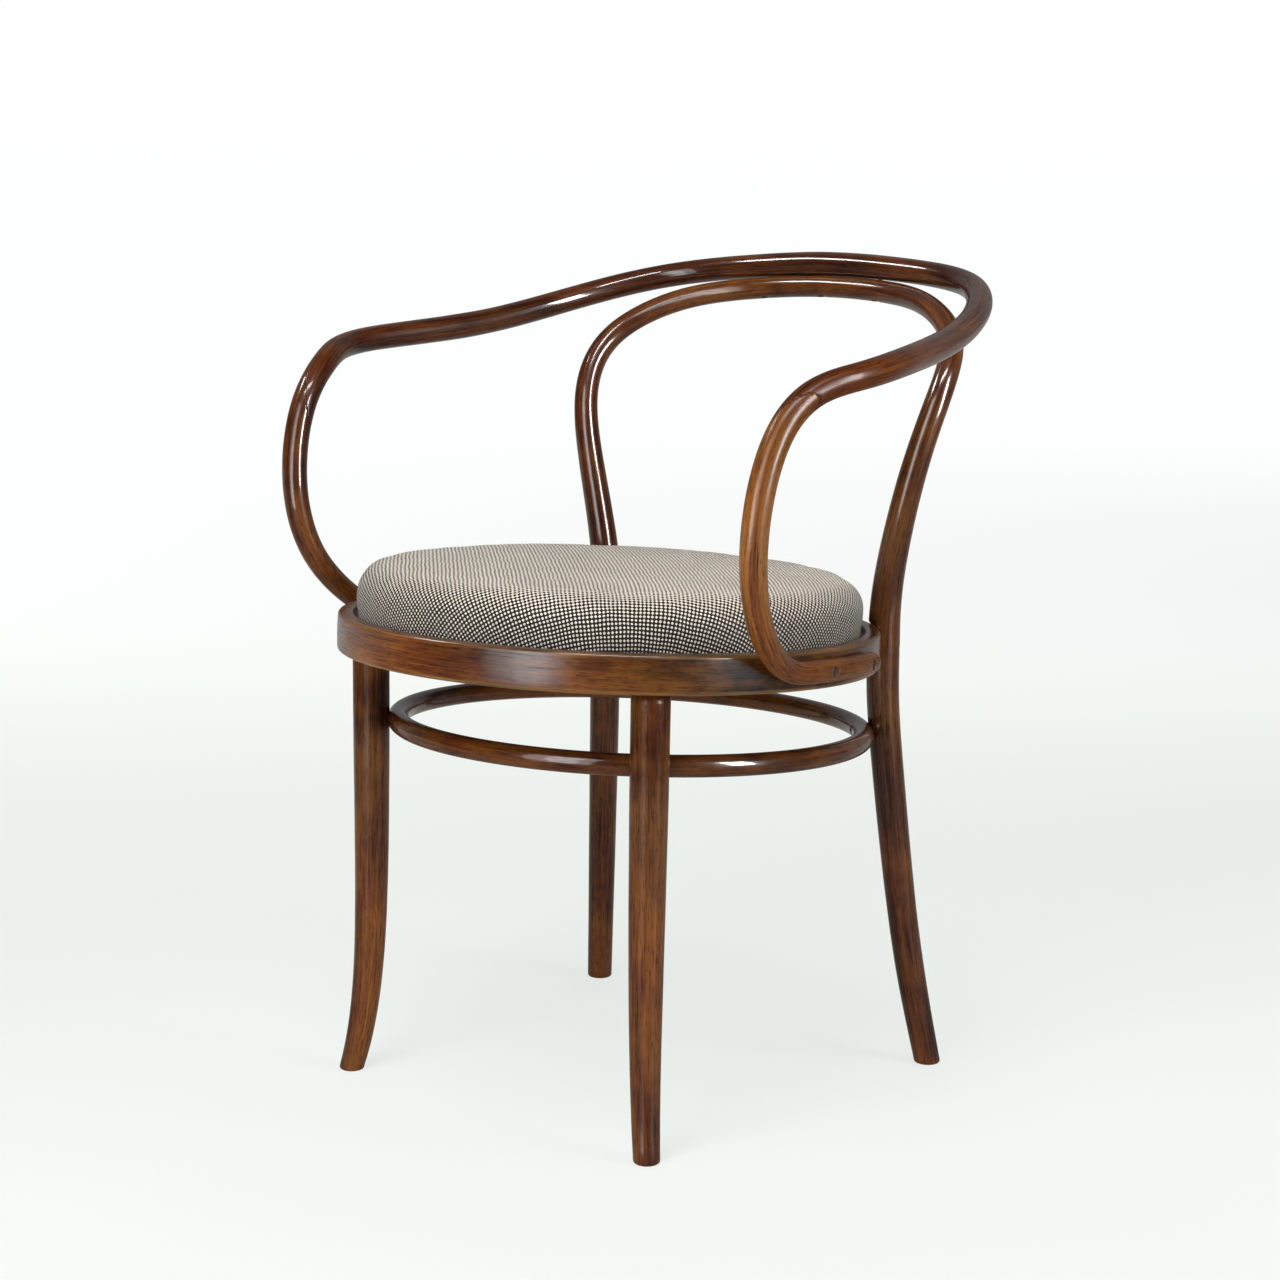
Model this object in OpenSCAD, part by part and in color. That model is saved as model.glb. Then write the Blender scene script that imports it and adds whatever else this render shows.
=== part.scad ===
// Bentwood armchair with a round upholstered drop-in seat.
// Millimetres, +Z up. The sitter faces -Y and the sitter's left is +X.
// The origin lies on the floor, below the middle of the overall box.

/* [Overall] */
// Height from the floor to the top of the rail
chair_h = 723; // [700:1:760]
// Width over the arms
arm_span = 598; // [580:1:620]
// Height of the seat ring's top face at its middle
seat_h = 408; // [395:1:425]
// Backward slope of the seat in degrees
seat_tilt = 2; // [0:0.5:4]

/* [Seat ring] */
// Outer diameter of the seat ring
ring_d = 466; // [456:1:476]
// Width of the ring's section
ring_w = 46; // [44:1:52]
// Height of the ring's section
ring_h = 32; // [30:1:36]
// Width of the flat rim round the seat
rim_w = 13; // [11:0.5:15]
// Depth of the rebate that holds the seat
rebate_h = 12; // [10:0.5:13]
// Rounding of the ring's outer edges
ring_edge = 3; // [2:0.5:4]

/* [Seat pad] */
// Thickness of the plywood seat board
board_t = 10; // [8:0.5:12]
// Thickness of the cover cloth
cover_t = 1.2; // [1:0.1:2]
// Play between the pad and the rebate's wall
pad_play = 2.6; // [2:0.2:4]
// Height of the pad's widest line above the ring
pad_side_h = 19; // [15:1:24]
// Height of the rounded shoulder above that line
pad_shoulder_h = 23; // [18:1:28]
// Width of the rounded shoulder
pad_shoulder_w = 22; // [18:1:28]
// Rise of the crown above the shoulder
pad_crown_h = 9; // [6:1:14]
// How far the pad's foot is drawn in below its widest line
pad_draw_in = 1.6; // [1:0.2:3]
// Thickness of the cloth under the seat
dust_t = 0.8; // [0.6:0.1:1.5]

/* [Front legs] */
// Diameter at the top
leg_top_d = 31.8; // [30:0.2:34]
// Diameter at the foot
leg_foot_d = 21.8; // [20:0.2:25]
// Distance of the leg's middle inside the ring's outer face
leg_inset = 28; // [26:1:30]
// Angle of the legs round the seat, measured forward from the side, in degrees
leg_angle = 40; // [37:1:43]
// How far the foot is bent outward
leg_kick = 18; // [12:1:24]
// How far the shank stands inside its top
leg_lean = 1; // [0:0.5:5]
// Diameter of the tenon
tenon_d = 20; // [16:1:22]
// Length of the tenon
tenon_l = 16; // [12:1:17]

/* [Back bow] */
// Diameter where the bow is fastened to the seat ring
bow_seat_d = 28.8; // [27:0.2:31]
// Diameter at the foot
bow_foot_d = 23.6; // [22:0.2:26]
// Diameter at the top of the back
bow_top_d = 20.2; // [19:0.2:22]
// Width over the widest part of the back
bow_span = 420; // [400:1:440]
// Angle of the rear legs round the seat, measured backward from the side, in degrees
bow_angle = 48.6; // [46:0.2:52]
// How far the rear feet splay outward
bow_splay = 53; // [40:1:65]
// Depth of the notch that seats the ring in each rear leg
bow_notch = 4; // [3:0.5:6]

/* [Rail and arms] */
// Diameter of the rail behind the back
rail_d = 22.4; // [21:0.2:24]
// Diameter of the arms at their thickest
arm_d = 23.4; // [22:0.2:25]
// Diameter of the arms' drop in front
drop_d = 22; // [20:0.2:24]
// Diameter of the arms' ends on the seat ring
tail_d = 17.2; // [16:0.2:19]
// Distance of the rail's middle behind the middle of the seat
rail_back = 305; // [295:1:315]
// Height of the arms' front corners above the floor
arm_h = 641; // [620:1:655]
// Distance of the arms' foremost surface in front of the middle of the seat
arm_front = 143; // [130:1:155]
// Depth of the flat on each arm where it lies on the ring
arm_lap = 2.6; // [2:0.2:4]
// Angle at which the arms' ends stop behind the seat's side, in degrees
arm_end_angle = 16; // [12:1:20]

/* [Stretcher ring] */
// Diameter of the stretcher's round section
stretcher_d = 18.4; // [17:0.2:20]
// Distance from the seat ring's top face down to the stretcher's middle
stretcher_drop = 97; // [85:1:115]
// Depth of the saddle in each leg
saddle = 2.2; // [1.5:0.1:3]

/* [Fasteners] */
// Shank diameter of the wood screws
screw_d = 4; // [3.5:0.1:4.5]
// Head diameter of the wood screws
screw_head_d = 8.6; // [8:0.2:9]
// Diameter of the bolts in the rear legs
bolt_d = 6; // [5:0.5:6.5]
// Number of tacks under the seat
tack_count = 24; // [16:1:32]

/* [Hidden] */

// Clearances and smoothness
fit_gap = 0.1; // between a fastener or tenon and its hole
seat_gap = 0.05; // between a notch or flat and what sits in it
cut = 2; // overrun of every cut
sides = 20; // facets round a bent rod
steps = 4; // rings to each span of a bent rod
round_fn = 96; // facets of exact round forms
small_fn = 32; // facets of fasteners
foot_edge = 2.5; // rounding of the feet
end_steps = 4; // rings that round a rod's end

// Colours
wood = [0.30, 0.16, 0.08];
ply = [0.72, 0.58, 0.40];
foam = [0.90, 0.85, 0.65];
cloth = [0.62, 0.57, 0.50];
black_cloth = [0.12, 0.12, 0.12];
steel = [0.62, 0.60, 0.56];

// Seat ring
ring_r = ring_d / 2;
ring_in = ring_r - ring_w;
rebate_r = ring_r - rim_w;
ledge_h = ring_h - rebate_h;
tilt_rise = tan(seat_tilt);

// The middle of the seat stands ahead of the middle of the overall box
rail_reach = rail_back + rail_d / 2;
front_edge = ring_r * cos(seat_tilt) + (ring_h - ring_edge) * sin(seat_tilt);
seat_y = (front_edge - rail_reach) / 2;

// A point given from the middle of the ring's top face, on the sloping seat
function on_seat(p) = [p.x, p.y * cos(seat_tilt) + p.z * sin(seat_tilt),
    seat_h - p.y * sin(seat_tilt) + p.z * cos(seat_tilt)];
function polar(r, a) = [r * cos(a), r * sin(a)];
function mix(a, b, s) = a + (b - a) * s;
function unit(v) = v / norm(v);
function flip(p) = [-p.x, p.y, p.z];
function reverse(list) = [for (i = [len(list) - 1 : -1 : 0]) list[i]];

// Smooth curve steered by handles. It starts and ends on the first and last handle
function span_point(p, i, t) = (pow(1 - t, 3) * p[i]
    + (3 * pow(t, 3) - 6 * pow(t, 2) + 4) * p[i + 1]
    + (-3 * pow(t, 3) + 3 * pow(t, 2) + 3 * t + 1) * p[i + 2]
    + pow(t, 3) * p[i + 3]) / 6;
function handles_with_ends(h) = let (n = len(h) - 1)
    concat([2 * h[0] - h[1]], h, [2 * h[n] - h[n - 1]]);
function curve_at(h, u) = let (p = handles_with_ends(h),
    i = min(floor(u), len(h) - 2)) span_point(p, i, u - i);
function curve(h, from, to, count) =
    [for (k = [0 : count]) curve_at(h, mix(from, to, k / count))];
function curve_dir(h, u) = unit(curve_at(h, min(u + 0.02, len(h) - 1))
    - curve_at(h, max(u - 0.02, 0)));

// Turns a side vector along a rod so that it never twists
function side_vectors(dirs, first) = [for (i = 0,
    s = unit(first - (first * dirs[0]) * dirs[0]); i < len(dirs); i = i + 1,
    s = i < len(dirs) ? unit(s - (s * dirs[i]) * dirs[i]) : s) s];

// Rod through the given middles, radii and directions, closed at both ends
module rod(middles, radii, dirs, first) {
    count = len(middles);
    side = side_vectors(dirs, first);
    points = [for (i = [0 : count - 1]) let (up = cross(dirs[i], side[i]))
        for (k = [0 : sides - 1]) let (a = 360 * (k + 0.5) / sides)
            middles[i] + radii[i] * (cos(a) * side[i] + sin(a) * up)];
    walls = [for (i = [0 : count - 2]) for (k = [0 : sides - 1])
        let (a = i * sides + k, b = i * sides + (k + 1) % sides)
            each [[a, a + sides, b + sides], [a, b + sides, b]]];
    first_cap = [for (k = [0 : sides - 1]) k];
    last_cap = [for (k = [sides - 1 : -1 : 0]) (count - 1) * sides + k];
    polyhedron(points = points, faces = concat(walls, [first_cap], [last_cap]));
}

// Extra rings that round the end of a rod: offsets and lost radius for a quarter circle
function end_turns(edge) = [for (k = [1 : end_steps])
    let (a = 90 * k / end_steps) [edge * sin(a), edge * (1 - cos(a))]];

// Screw along +Z with its tip at zero and a flat head on a cone
module screw(length, d, head_d) {
    head_h = (head_d - d) / 2;
    slot_w = head_d / 7;
    slot_h = head_h / 2;
    difference() {
        union() {
            cylinder(h = d, r1 = d / 8, r2 = d / 2, $fn = small_fn);
            translate([0, 0, d]) cylinder(h = length - d, d = d, $fn = small_fn);
            translate([0, 0, length - head_h])
                cylinder(h = head_h, r1 = d / 2, r2 = head_d / 2, $fn = small_fn);
        }
        translate([-head_d, -slot_w / 2, length - slot_h])
            cube([2 * head_d, slot_w, 2 * head_h]);
    }
}

// Hole for that screw, open beyond the head
module screw_hole(length, d, head_d) {
    head_h = (head_d - d) / 2;
    shank_r = d / 2 + fit_gap;
    head_r = head_d / 2 + fit_gap;
    top = length + head_d;
    rotate_extrude($fn = small_fn) polygon([[0, -fit_gap], [shank_r, -fit_gap],
        [shank_r, length - head_h], [head_r, length], [head_r, top], [0, top]]);
}

// Moves what follows to a point on the sloping seat, with Z along its normal
module on_seat_plane() {
    translate([0, 0, seat_h]) rotate([-seat_tilt, 0, 0]) children();
}

// Turns +Z to point outward from the middle at an angle round the seat
module outward(a) {
    rotate([0, 0, a]) rotate([0, 90, 0]) children();
}

// Points +Z along a direction
module along(dir) {
    rotate([0, acos(dir.z), atan2(dir.y, dir.x)]) children();
}

// Front legs
front_reach = ring_r - leg_inset;
seat_up = [0, sin(seat_tilt), cos(seat_tilt)];
front_top = on_seat(concat(polar(front_reach, -leg_angle), [-ring_h]));
function front_radius(s) = mix(leg_foot_d, leg_top_d, 1 - pow(1 - s, 2)) / 2;
function front_middle(s) = let (
    p = polar(front_reach - leg_lean * (1 - s * s) + leg_kick * pow(1 - s, 6), -leg_angle),
    top = polar(front_reach, -leg_angle))
    [p.x, p.y + (front_top.y - top.y) * s, mix(foot_edge, front_top.z, s)];

// Back bow. Its legs run straight past the seat ring
bow_reach = ring_r + bow_seat_d / 2 - bow_notch;
bow_seat_mid = on_seat(concat(polar(bow_reach, bow_angle), [-ring_h / 2]));
bow_half = (bow_span - bow_top_d) / 2;
bow_tuck = 12; // angle by which the bow's top stands ahead of the rail, in degrees
crest_half = 82; // first handles on each side of the middle
crest_drop = 1.6; // fall of the crest towards those handles
crest_curl = 0.6; // forward curl of the crest towards those handles
rail_mid = [0, rail_back, chair_h - rail_d / 2];
crest_dist = (rail_d + bow_top_d) / 2 + seat_gap;
bow_mid = rail_mid - crest_dist * [0, sin(bow_tuck), cos(bow_tuck)];
function crest(mid) = [mid + [0, crest_curl, crest_drop],
    mid + [crest_half, -2 * crest_curl, -2 * crest_drop]];

// Shares of the splay and of the height of the seat, from the foot upward
bow_leg_shares = [[1, 0], [0.615, 0.23], [0.35, 0.47], [0.13, 0.71]];
// Shares of the half width, of the way back and of the way up, from the seat upward
bow_back_shares = [[0.912, -0.02, 0.455], [0.992, 0.035, 0.645], [1.01, 0.23, 0.79],
    [0.925, 0.49, 0.885], [0.695, 0.73, 0.962]];
bow_half_handles = concat(
    [for (s = bow_leg_shares) let (p = polar(bow_reach + bow_splay * s.x, bow_angle))
        [p.x, p.y, mix(foot_edge, bow_seat_mid.z, s.y)]],
    [for (k = [-1 : 1]) bow_seat_mid + [0, 0, 1.55 * ring_h * k]],
    [for (s = bow_back_shares) [bow_half * s.x, mix(bow_seat_mid.y, bow_mid.y, s.y),
        mix(bow_seat_mid.z, bow_mid.z, s.z)]],
    reverse(crest(bow_mid)));
bow_n = len(bow_half_handles) - 1;
bow_handles = concat(bow_half_handles,
    [for (i = [bow_n - 1 : -1 : 0]) flip(bow_half_handles[i])]);
function bow_radius(z) = z < bow_seat_mid.z
    ? mix(bow_seat_d, bow_foot_d, pow(1 - z / bow_seat_mid.z, 1.6)) / 2
    : mix(bow_top_d, bow_seat_d, pow(max(0, 1 - (z - bow_seat_mid.z)
        / (bow_mid.z - bow_seat_mid.z)), 1.5)) / 2;

// Rail and arms
lap_r = ring_r + tail_d / 2 - arm_lap;
arm_half = (arm_span - drop_d) / 2;
arm_reach = arm_front - drop_d / 2;
arm_mid_h = arm_h - drop_d / 2;
lap_start = -15; // angle where the arms have come to the ring, in degrees
lap_step = (arm_end_angle - lap_start) / 4;
tail_edge = tail_d / 4;
tail_end_angle = arm_end_angle - asin(tail_edge / lap_r);
// Shares of the half width, of the way back and of the rise above the arms
rail_shares = [[0.545, 0.96, 0.875], [0.708, 0.83, 0.722], [0.825, 0.63, 0.483],
    [0.895, 0.39, 0.256], [0.955, 0.155, 0.15], [1.006, -0.03, 0.08], [1.002, -0.153, 0]];
// Shares of the way out to the half width, of the reach in front and of the drop
drop_shares = [[0.558, 0.627, 0.96], [0.42, 0.912, 0.811], [0.32, 1.04, 0.505],
    [0.175, 0.914, 0.204]];
function lap_handle(a) = let (
    r = a < tail_end_angle ? lap_r * 3 / (2 + cos(lap_step)) : lap_r)
    on_seat(concat(polar(r, a), [-ring_h / 2]));
lap_first = lap_handle(lap_start);
arm_half_handles = concat(
    crest(rail_mid),
    [for (s = rail_shares) [arm_half * s.x, rail_back * s.y,
        mix(arm_mid_h, rail_mid.z, s.z)]],
    [for (s = drop_shares) [mix(lap_r, arm_half, s.x), -arm_reach * s.y,
        mix(lap_first.z, arm_mid_h, s.z)]],
    [for (k = [0 : 4]) lap_handle(min(lap_start + lap_step * k, tail_end_angle))]);
arm_n = len(arm_half_handles) - 1;
rail_handles = concat([for (i = [arm_n : -1 : 1]) flip(arm_half_handles[i])],
    arm_half_handles);
// Thickness along the rail and arm, against the handle that each stretch is near
function arm_radius(u) = lookup(abs(u), [[0, rail_d], [2.5, rail_d], [5.5, arm_d],
    [8, drop_d], [11, drop_d], [13.5, mix(tail_d, drop_d, 0.35)], [arm_n, tail_d]]) / 2;

// Slanted joint between rail and arm. Its plane crosses the whole thickness between its two ends
scarf_shares = [0.5265, 0.606]; // of the way from the rail's middle to the arm's end
scarf_ends = [for (s = scarf_shares) curve_at(arm_half_handles, s * arm_n)];
scarf_dirs = [for (s = scarf_shares) curve_dir(arm_half_handles, s * arm_n)];
scarf_chord = scarf_ends[1] - scarf_ends[0];
scarf_mid = (scarf_ends[0] + scarf_ends[1]) / 2;
scarf_rise = 1.1 * drop_d; // the arm's thickness there, with a little to spare
scarf_bend = cross(scarf_dirs[0], scarf_dirs[1]);
scarf_turn = unit(scarf_bend - (scarf_bend * unit(scarf_chord)) * unit(scarf_chord));
scarf_normal = unit(scarf_turn * norm(scarf_chord) + unit(scarf_chord) * scarf_rise);

// Stretcher ring. It is centred where it meets all four legs alike
stretcher_h = seat_h - stretcher_drop;
function stretch_plane(p, y) = stretcher_h - (p.y - y) * tilt_rise;
function front_share_at(z) = (z - foot_edge) / (front_top.z - foot_edge);
function bow_place(z, lo = 0, hi = 6, n = 20) = let (m = (lo + hi) / 2)
    n == 0 ? m : curve_at(bow_half_handles, m).z > z
        ? bow_place(z, lo, m, n - 1) : bow_place(z, m, hi, n - 1);
function front_post(y) = let (s = front_share_at(stretch_plane(front_middle(0.8), y)))
    concat(front_middle(s), [front_radius(s)]);
function bow_post(y) = let (p = curve_at(bow_half_handles, bow_place(
    stretch_plane(curve_at(bow_half_handles, 3), y)))) concat(p, [bow_radius(p.z)]);
function post_dist(post, y) = norm([post[0], post[1] - y, post[2] - stretcher_h]);
function clear_of(post, y) = post_dist(post, y) - post[3];
function stretch_middle(lo, hi, n = 24) = let (m = (lo + hi) / 2)
    n == 0 ? m : clear_of(front_post(m), m) > clear_of(bow_post(m), m)
        ? stretch_middle(lo, m, n - 1) : stretch_middle(m, hi, n - 1);
stretch_y = stretch_middle(-ring_r / 2, ring_r / 2);
stretch_posts = [front_post(stretch_y), bow_post(stretch_y)];
stretch_r = clear_of(stretch_posts[0], stretch_y) - stretcher_d / 2 + saddle;
stretch_screw_l = stretcher_d + leg_top_d / 2;

// Seat pad
pad_r = rebate_r - pad_play;
pad_z = -rebate_h + seat_gap;
board_r = pad_r - pad_draw_in - cover_t;
board_z = pad_z + cover_t;
foam_z = board_z + board_t;
flange_r = ring_in - 16 * cover_t;
dust_r = ring_in - 4 * cover_t;
tack_r = (dust_r + flange_r) / 2;
tack_head_d = 2 * (dust_r - tack_r) * 0.85;
tack_d = tack_head_d / 4;
tack_l = 0.7 * board_t;
shoulder_turns = 10; // steps of the pad's rounded shoulder
crown_turns = 8; // steps of its crown
// Half outline of the padding, taken in by a thickness, from its foot to the middle of its crown
function pad_outline(t) = let (r = pad_r - t, w = pad_shoulder_w - t,
    h = pad_shoulder_h - t, in = r - w, top = pad_side_h + h)
    concat([[r - pad_draw_in, foam_z], [r - pad_draw_in * 0.55, foam_z + pad_side_h * 0.3],
        [r - pad_draw_in * 0.15, foam_z + pad_side_h * 0.7]],
        [for (k = [0 : shoulder_turns]) let (a = 90 * k / shoulder_turns,
            x = in + w * cos(a))
            [x, pad_side_h + h * sin(a) + pad_crown(x) * sin(a)]],
        [for (k = [1 : crown_turns]) let (x = in * (1 - k / crown_turns))
            [x, top + pad_crown(x)]]);
function pad_crown(x) = pad_crown_h * (1 - pow(x / pad_r, 2));

// Fasteners
arm_screw_angles = [-2.6, arm_end_angle - 4];
arm_screw_l = 40;
arm_screw_recess = 1.2;
seat_screw_angles = [28, 152, 248, 292];
seat_screw_l = ledge_h + 0.55 * board_t;
seat_screw_reach = (ring_in + rebate_r) / 2;
rail_screw_places = [-0.8, 0, 0.8]; // in handles from the middle of the crest
rail_screw_l = bow_top_d + rail_d * 0.65;
bolt_z = -ring_h + ledge_h / 2;
bolt_head_d = 2 * bolt_d;
bolt_head_h = 0.6 * bolt_d;
bolt_tail = bolt_d / 3;
washer_d = 2.6 * bolt_d;
washer_t = 1.5;
nut_d = 1.9 * bolt_d;
nut_h = 0.8 * bolt_d;
nut_seat = sqrt(pow(ring_in, 2) - pow(washer_d / 2, 2)) - 2 * fit_gap;
bolt_seat = bow_reach + bow_seat_d / 2 - bolt_head_h;

module placed() {
    translate([0, seat_y, 0]) children();
}

// Bent rod along its handles between two places, rounded at the ends that are asked for
module bent_rod(handles, from, to, radius_of, foot = false, both = false, tail = 0) {
    count = round((to - from) * steps);
    u = [for (k = [0 : count]) mix(from, to, k / count)];
    mids = [for (v = u) curve_at(handles, v)];
    rads = [for (i = [0 : count]) radius_of(u[i], mids[i])];
    up = [0, 0, 1];
    dirs = [for (i = [0 : count]) foot && i < steps
        ? unit(mix(up, curve_dir(handles, u[i]), i / steps))
        : both && i > count - steps
            ? unit(mix(-up, curve_dir(handles, u[i]), (count - i) / steps))
            : curve_dir(handles, u[i])];
    foot_turns = end_turns(foot_edge);
    tail_turns = end_turns(tail);
    head = foot ? reverse([for (t = foot_turns) [mids[0] - up * t[0], rads[0] - t[1]]]) : [];
    last = both ? [for (t = foot_turns) [mids[count] - up * t[0], rads[count] - t[1]]]
        : tail > 0 ? [for (t = tail_turns)
            [mids[count] + dirs[count] * t[0], rads[count] - t[1]]] : [];
    rod(concat([for (h = head) h[0]], mids, [for (t = last) t[0]]),
        concat([for (h = head) h[1]], rads, [for (t = last) t[1]]),
        concat([for (h = head) dirs[0]], dirs, [for (t = last) dirs[count]]),
        cross(dirs[0], [0.6, 0.8, 0]));
}

module back_bow() {
    color(wood) placed() difference() {
        bent_rod(bow_handles, 0, 2 * bow_n, function(u, p) bow_radius(p.z),
            foot = true, both = true);
        on_seat_plane() translate([0, 0, -ring_h - seat_gap])
            cylinder(h = ring_h + 2 * seat_gap, r = ring_r + seat_gap, $fn = round_fn);
        stretcher_cut();
        for (m = [0, 1]) mirror([m, 0, 0]) {
            stretcher_screw_at(stretch_posts[1], true);
            on_seat_plane() translate([0, 0, bolt_z]) outward(bow_angle) {
                cylinder(h = bolt_seat + cut, d = bolt_d + 2 * fit_gap, $fn = small_fn);
                translate([0, 0, bolt_seat]) cylinder(h = bolt_head_d,
                    d = bolt_head_d + 2 * fit_gap, $fn = small_fn);
            }
        }
        for (u = rail_screw_places) rail_screw_at(u, true);
    }
}

module top_rail() {
    color(wood) placed() difference() {
        bent_rod(rail_handles, arm_n - scarf_shares[1] * arm_n,
            arm_n + scarf_shares[1] * arm_n, function(u, p) arm_radius(u - arm_n));
        for (m = [0, 1]) mirror([m, 0, 0]) scarf_block(1);
        for (u = rail_screw_places) rail_screw_at(u, true);
    }
}

module arm() {
    difference() {
        bent_rod(arm_half_handles, scarf_shares[0] * arm_n, arm_n,
            function(u, p) arm_radius(u), tail = tail_edge);
        scarf_block(-1);
        on_seat_plane() translate([0, 0, -ring_h - cut])
            cylinder(h = ring_h + 2 * cut, r = ring_r + seat_gap, $fn = round_fn);
        for (a = arm_screw_angles) arm_screw_at(a, true);
    }
}

module arm_left() {
    color(wood) placed() arm();
}

module arm_right() {
    color(wood) placed() mirror([1, 0, 0]) arm();
}

// Block on one side of the joint between rail and arm, no longer than the joint needs
module scarf_block(side) {
    size = norm(scarf_chord) + 2 * drop_d;
    depth = 2 * drop_d;
    translate(scarf_mid) along(scarf_normal)
        translate([-size / 2, -size / 2, side > 0 ? 0 : -depth]) cube([size, size, depth]);
}

module seat_ring() {
    e = ring_edge;
    turns = 6;
    section = concat(
        [for (k = [0 : turns]) let (a = 90 * k / turns)
            [ring_r - e + e * sin(a), -e + e * cos(a)]],
        [for (k = [0 : turns]) let (a = 90 * k / turns)
            [ring_r - e + e * cos(a), -ring_h + e - e * sin(a)]],
        [[ring_in + e / 2, -ring_h], [ring_in, -ring_h + e / 2],
            [ring_in, -rebate_h], [rebate_r, -rebate_h],
            [rebate_r, -e / 6], [rebate_r + e / 6, 0]]);
    color(wood) placed() difference() {
        on_seat_plane() rotate_extrude($fn = round_fn) polygon(section);
        for (m = [0, 1]) mirror([m, 0, 0]) {
            tenon(fit_gap);
            for (a = arm_screw_angles) arm_screw_at(a, true);
            on_seat_plane() translate([0, 0, bolt_z]) outward(bow_angle)
                cylinder(h = bolt_seat, d = bolt_d + 2 * fit_gap, $fn = small_fn);
        }
        for (a = seat_screw_angles) seat_screw_at(a, true);
    }
}

// Tenon of a front leg, or its hole where a clearance is given
module tenon(gap) {
    on_seat_plane() translate(concat(polar(front_reach, -leg_angle), [-ring_h - cut]))
        cylinder(h = cut + tenon_l + gap, d = tenon_d + 2 * gap, $fn = round_fn);
}

module front_leg() {
    count = 14;
    turns = end_turns(foot_edge);
    shares = [for (k = [0 : count]) k / count];
    r_foot = front_radius(0);
    mid_foot = front_middle(0);
    middles = concat(reverse([for (t = turns) mid_foot - [0, 0, t[0]]]),
        [for (s = shares) front_middle(s)]);
    radii = concat(reverse([for (t = turns) r_foot - t[1]]),
        [for (s = shares) front_radius(s)]);
    dirs = concat([for (t = turns) [0, 0, 1]],
        [for (s = shares) unit(mix([0, 0, 1], seat_up, s))]);
    difference() {
        union() {
            rod(middles, radii, dirs, [1, 0, 0]);
            tenon(0);
        }
        stretcher_cut();
        stretcher_screw_at(stretch_posts[0], true);
    }
}

module front_leg_left() {
    color(wood) placed() front_leg();
}

module front_leg_right() {
    color(wood) placed() mirror([1, 0, 0]) front_leg();
}

module stretcher_place() {
    translate([0, stretch_y, stretcher_h]) rotate([-seat_tilt, 0, 0]) children();
}

module stretcher_cut() {
    stretcher_place() rotate_extrude($fn = round_fn) translate([stretch_r, 0])
        circle(d = stretcher_d + 2 * seat_gap, $fn = small_fn);
}

module stretcher_ring() {
    color(wood) placed() difference() {
        stretcher_place() rotate_extrude($fn = round_fn) translate([stretch_r, 0])
            circle(d = stretcher_d, $fn = small_fn);
        for (m = [0, 1]) mirror([m, 0, 0]) for (post = stretch_posts)
            stretcher_screw_at(post, true);
    }
}

// Screw from inside the stretcher into a leg, or its hole
module stretcher_screw_at(post, hole) {
    middle = [0, stretch_y, stretcher_h];
    dir = unit([post[0], post[1], post[2]] - middle);
    tip = stretch_r - stretcher_d / 2 + stretch_screw_l + arm_screw_recess / 2;
    translate(middle + dir * tip) along(-dir) {
        if (hole) screw_hole(stretch_screw_l, screw_d, screw_head_d);
        else screw(stretch_screw_l, screw_d, screw_head_d);
    }
}

// Screw through an arm's end into the ring, or its hole
module arm_screw_at(a, hole) {
    top = lap_r + arm_radius(arm_n - 1) - arm_screw_recess;
    on_seat_plane() translate([0, 0, -ring_h / 2]) outward(a)
        translate([0, 0, top - arm_screw_l]) {
            if (hole) screw_hole(arm_screw_l, screw_d, screw_head_d);
            else screw(arm_screw_l, screw_d, screw_head_d);
        }
}

// Screw from below through the ring's ledge into the seat board, or its hole
module seat_screw_at(a, hole) {
    on_seat_plane() translate(concat(polar(seat_screw_reach, a),
        [-ring_h + arm_screw_recess + seat_screw_l])) mirror([0, 0, 1]) {
            if (hole) screw_hole(seat_screw_l, screw_d, screw_head_d);
            else screw(seat_screw_l, screw_d, screw_head_d);
        }
}

// Screw from below through the bow into the rail, or its hole
module rail_screw_at(u, hole) {
    low = curve_at(bow_handles, bow_n + u);
    near = low + crest_dist * [0, sin(bow_tuck), cos(bow_tuck)];
    dir = unit(low - near);
    tip = low - dir * (rail_screw_l - bow_top_d / 2 + arm_screw_recess);
    translate(tip) along(dir) {
        if (hole) screw_hole(rail_screw_l, screw_d, screw_head_d);
        else screw(rail_screw_l, screw_d, screw_head_d);
    }
}

module seat_board() {
    color(ply) placed() difference() {
        on_seat_plane() translate([0, 0, board_z + seat_gap])
            cylinder(h = board_t - 2 * seat_gap, r = board_r - seat_gap, $fn = round_fn);
        for (a = seat_screw_angles) seat_screw_at(a, true);
        tack_holes();
    }
}

module seat_foam() {
    outline = pad_outline(cover_t + seat_gap);
    color(foam) placed() on_seat_plane() rotate_extrude($fn = round_fn)
        polygon(concat([[0, foam_z]], outline));
}

module seat_cover() {
    outer = pad_outline(0);
    inner = pad_outline(cover_t);
    foot = pad_r - pad_draw_in;
    color(cloth) placed() difference() {
        on_seat_plane() rotate_extrude($fn = round_fn)
            polygon(concat([[flange_r, pad_z], [foot - cover_t, pad_z],
                [foot, pad_z + cover_t]], outer, reverse(inner),
                [[board_r, board_z], [flange_r, board_z]]));
        for (a = seat_screw_angles) seat_screw_at(a, true);
        tack_holes();
    }
}

module dust_cover() {
    color(black_cloth) placed() difference() {
        on_seat_plane() translate([0, 0, pad_z - dust_t - seat_gap])
            cylinder(h = dust_t, r = dust_r, $fn = round_fn);
        tack_holes();
    }
}

module tack_places() {
    for (k = [0 : tack_count - 1]) on_seat_plane()
        translate(concat(polar(tack_r, 360 * (k + 0.5) / tack_count),
            [pad_z - dust_t - 2 * seat_gap])) children();
}

module tack_holes() {
    tack_places() cylinder(h = tack_l + fit_gap, d = tack_d + fit_gap, $fn = small_fn);
}

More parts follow.
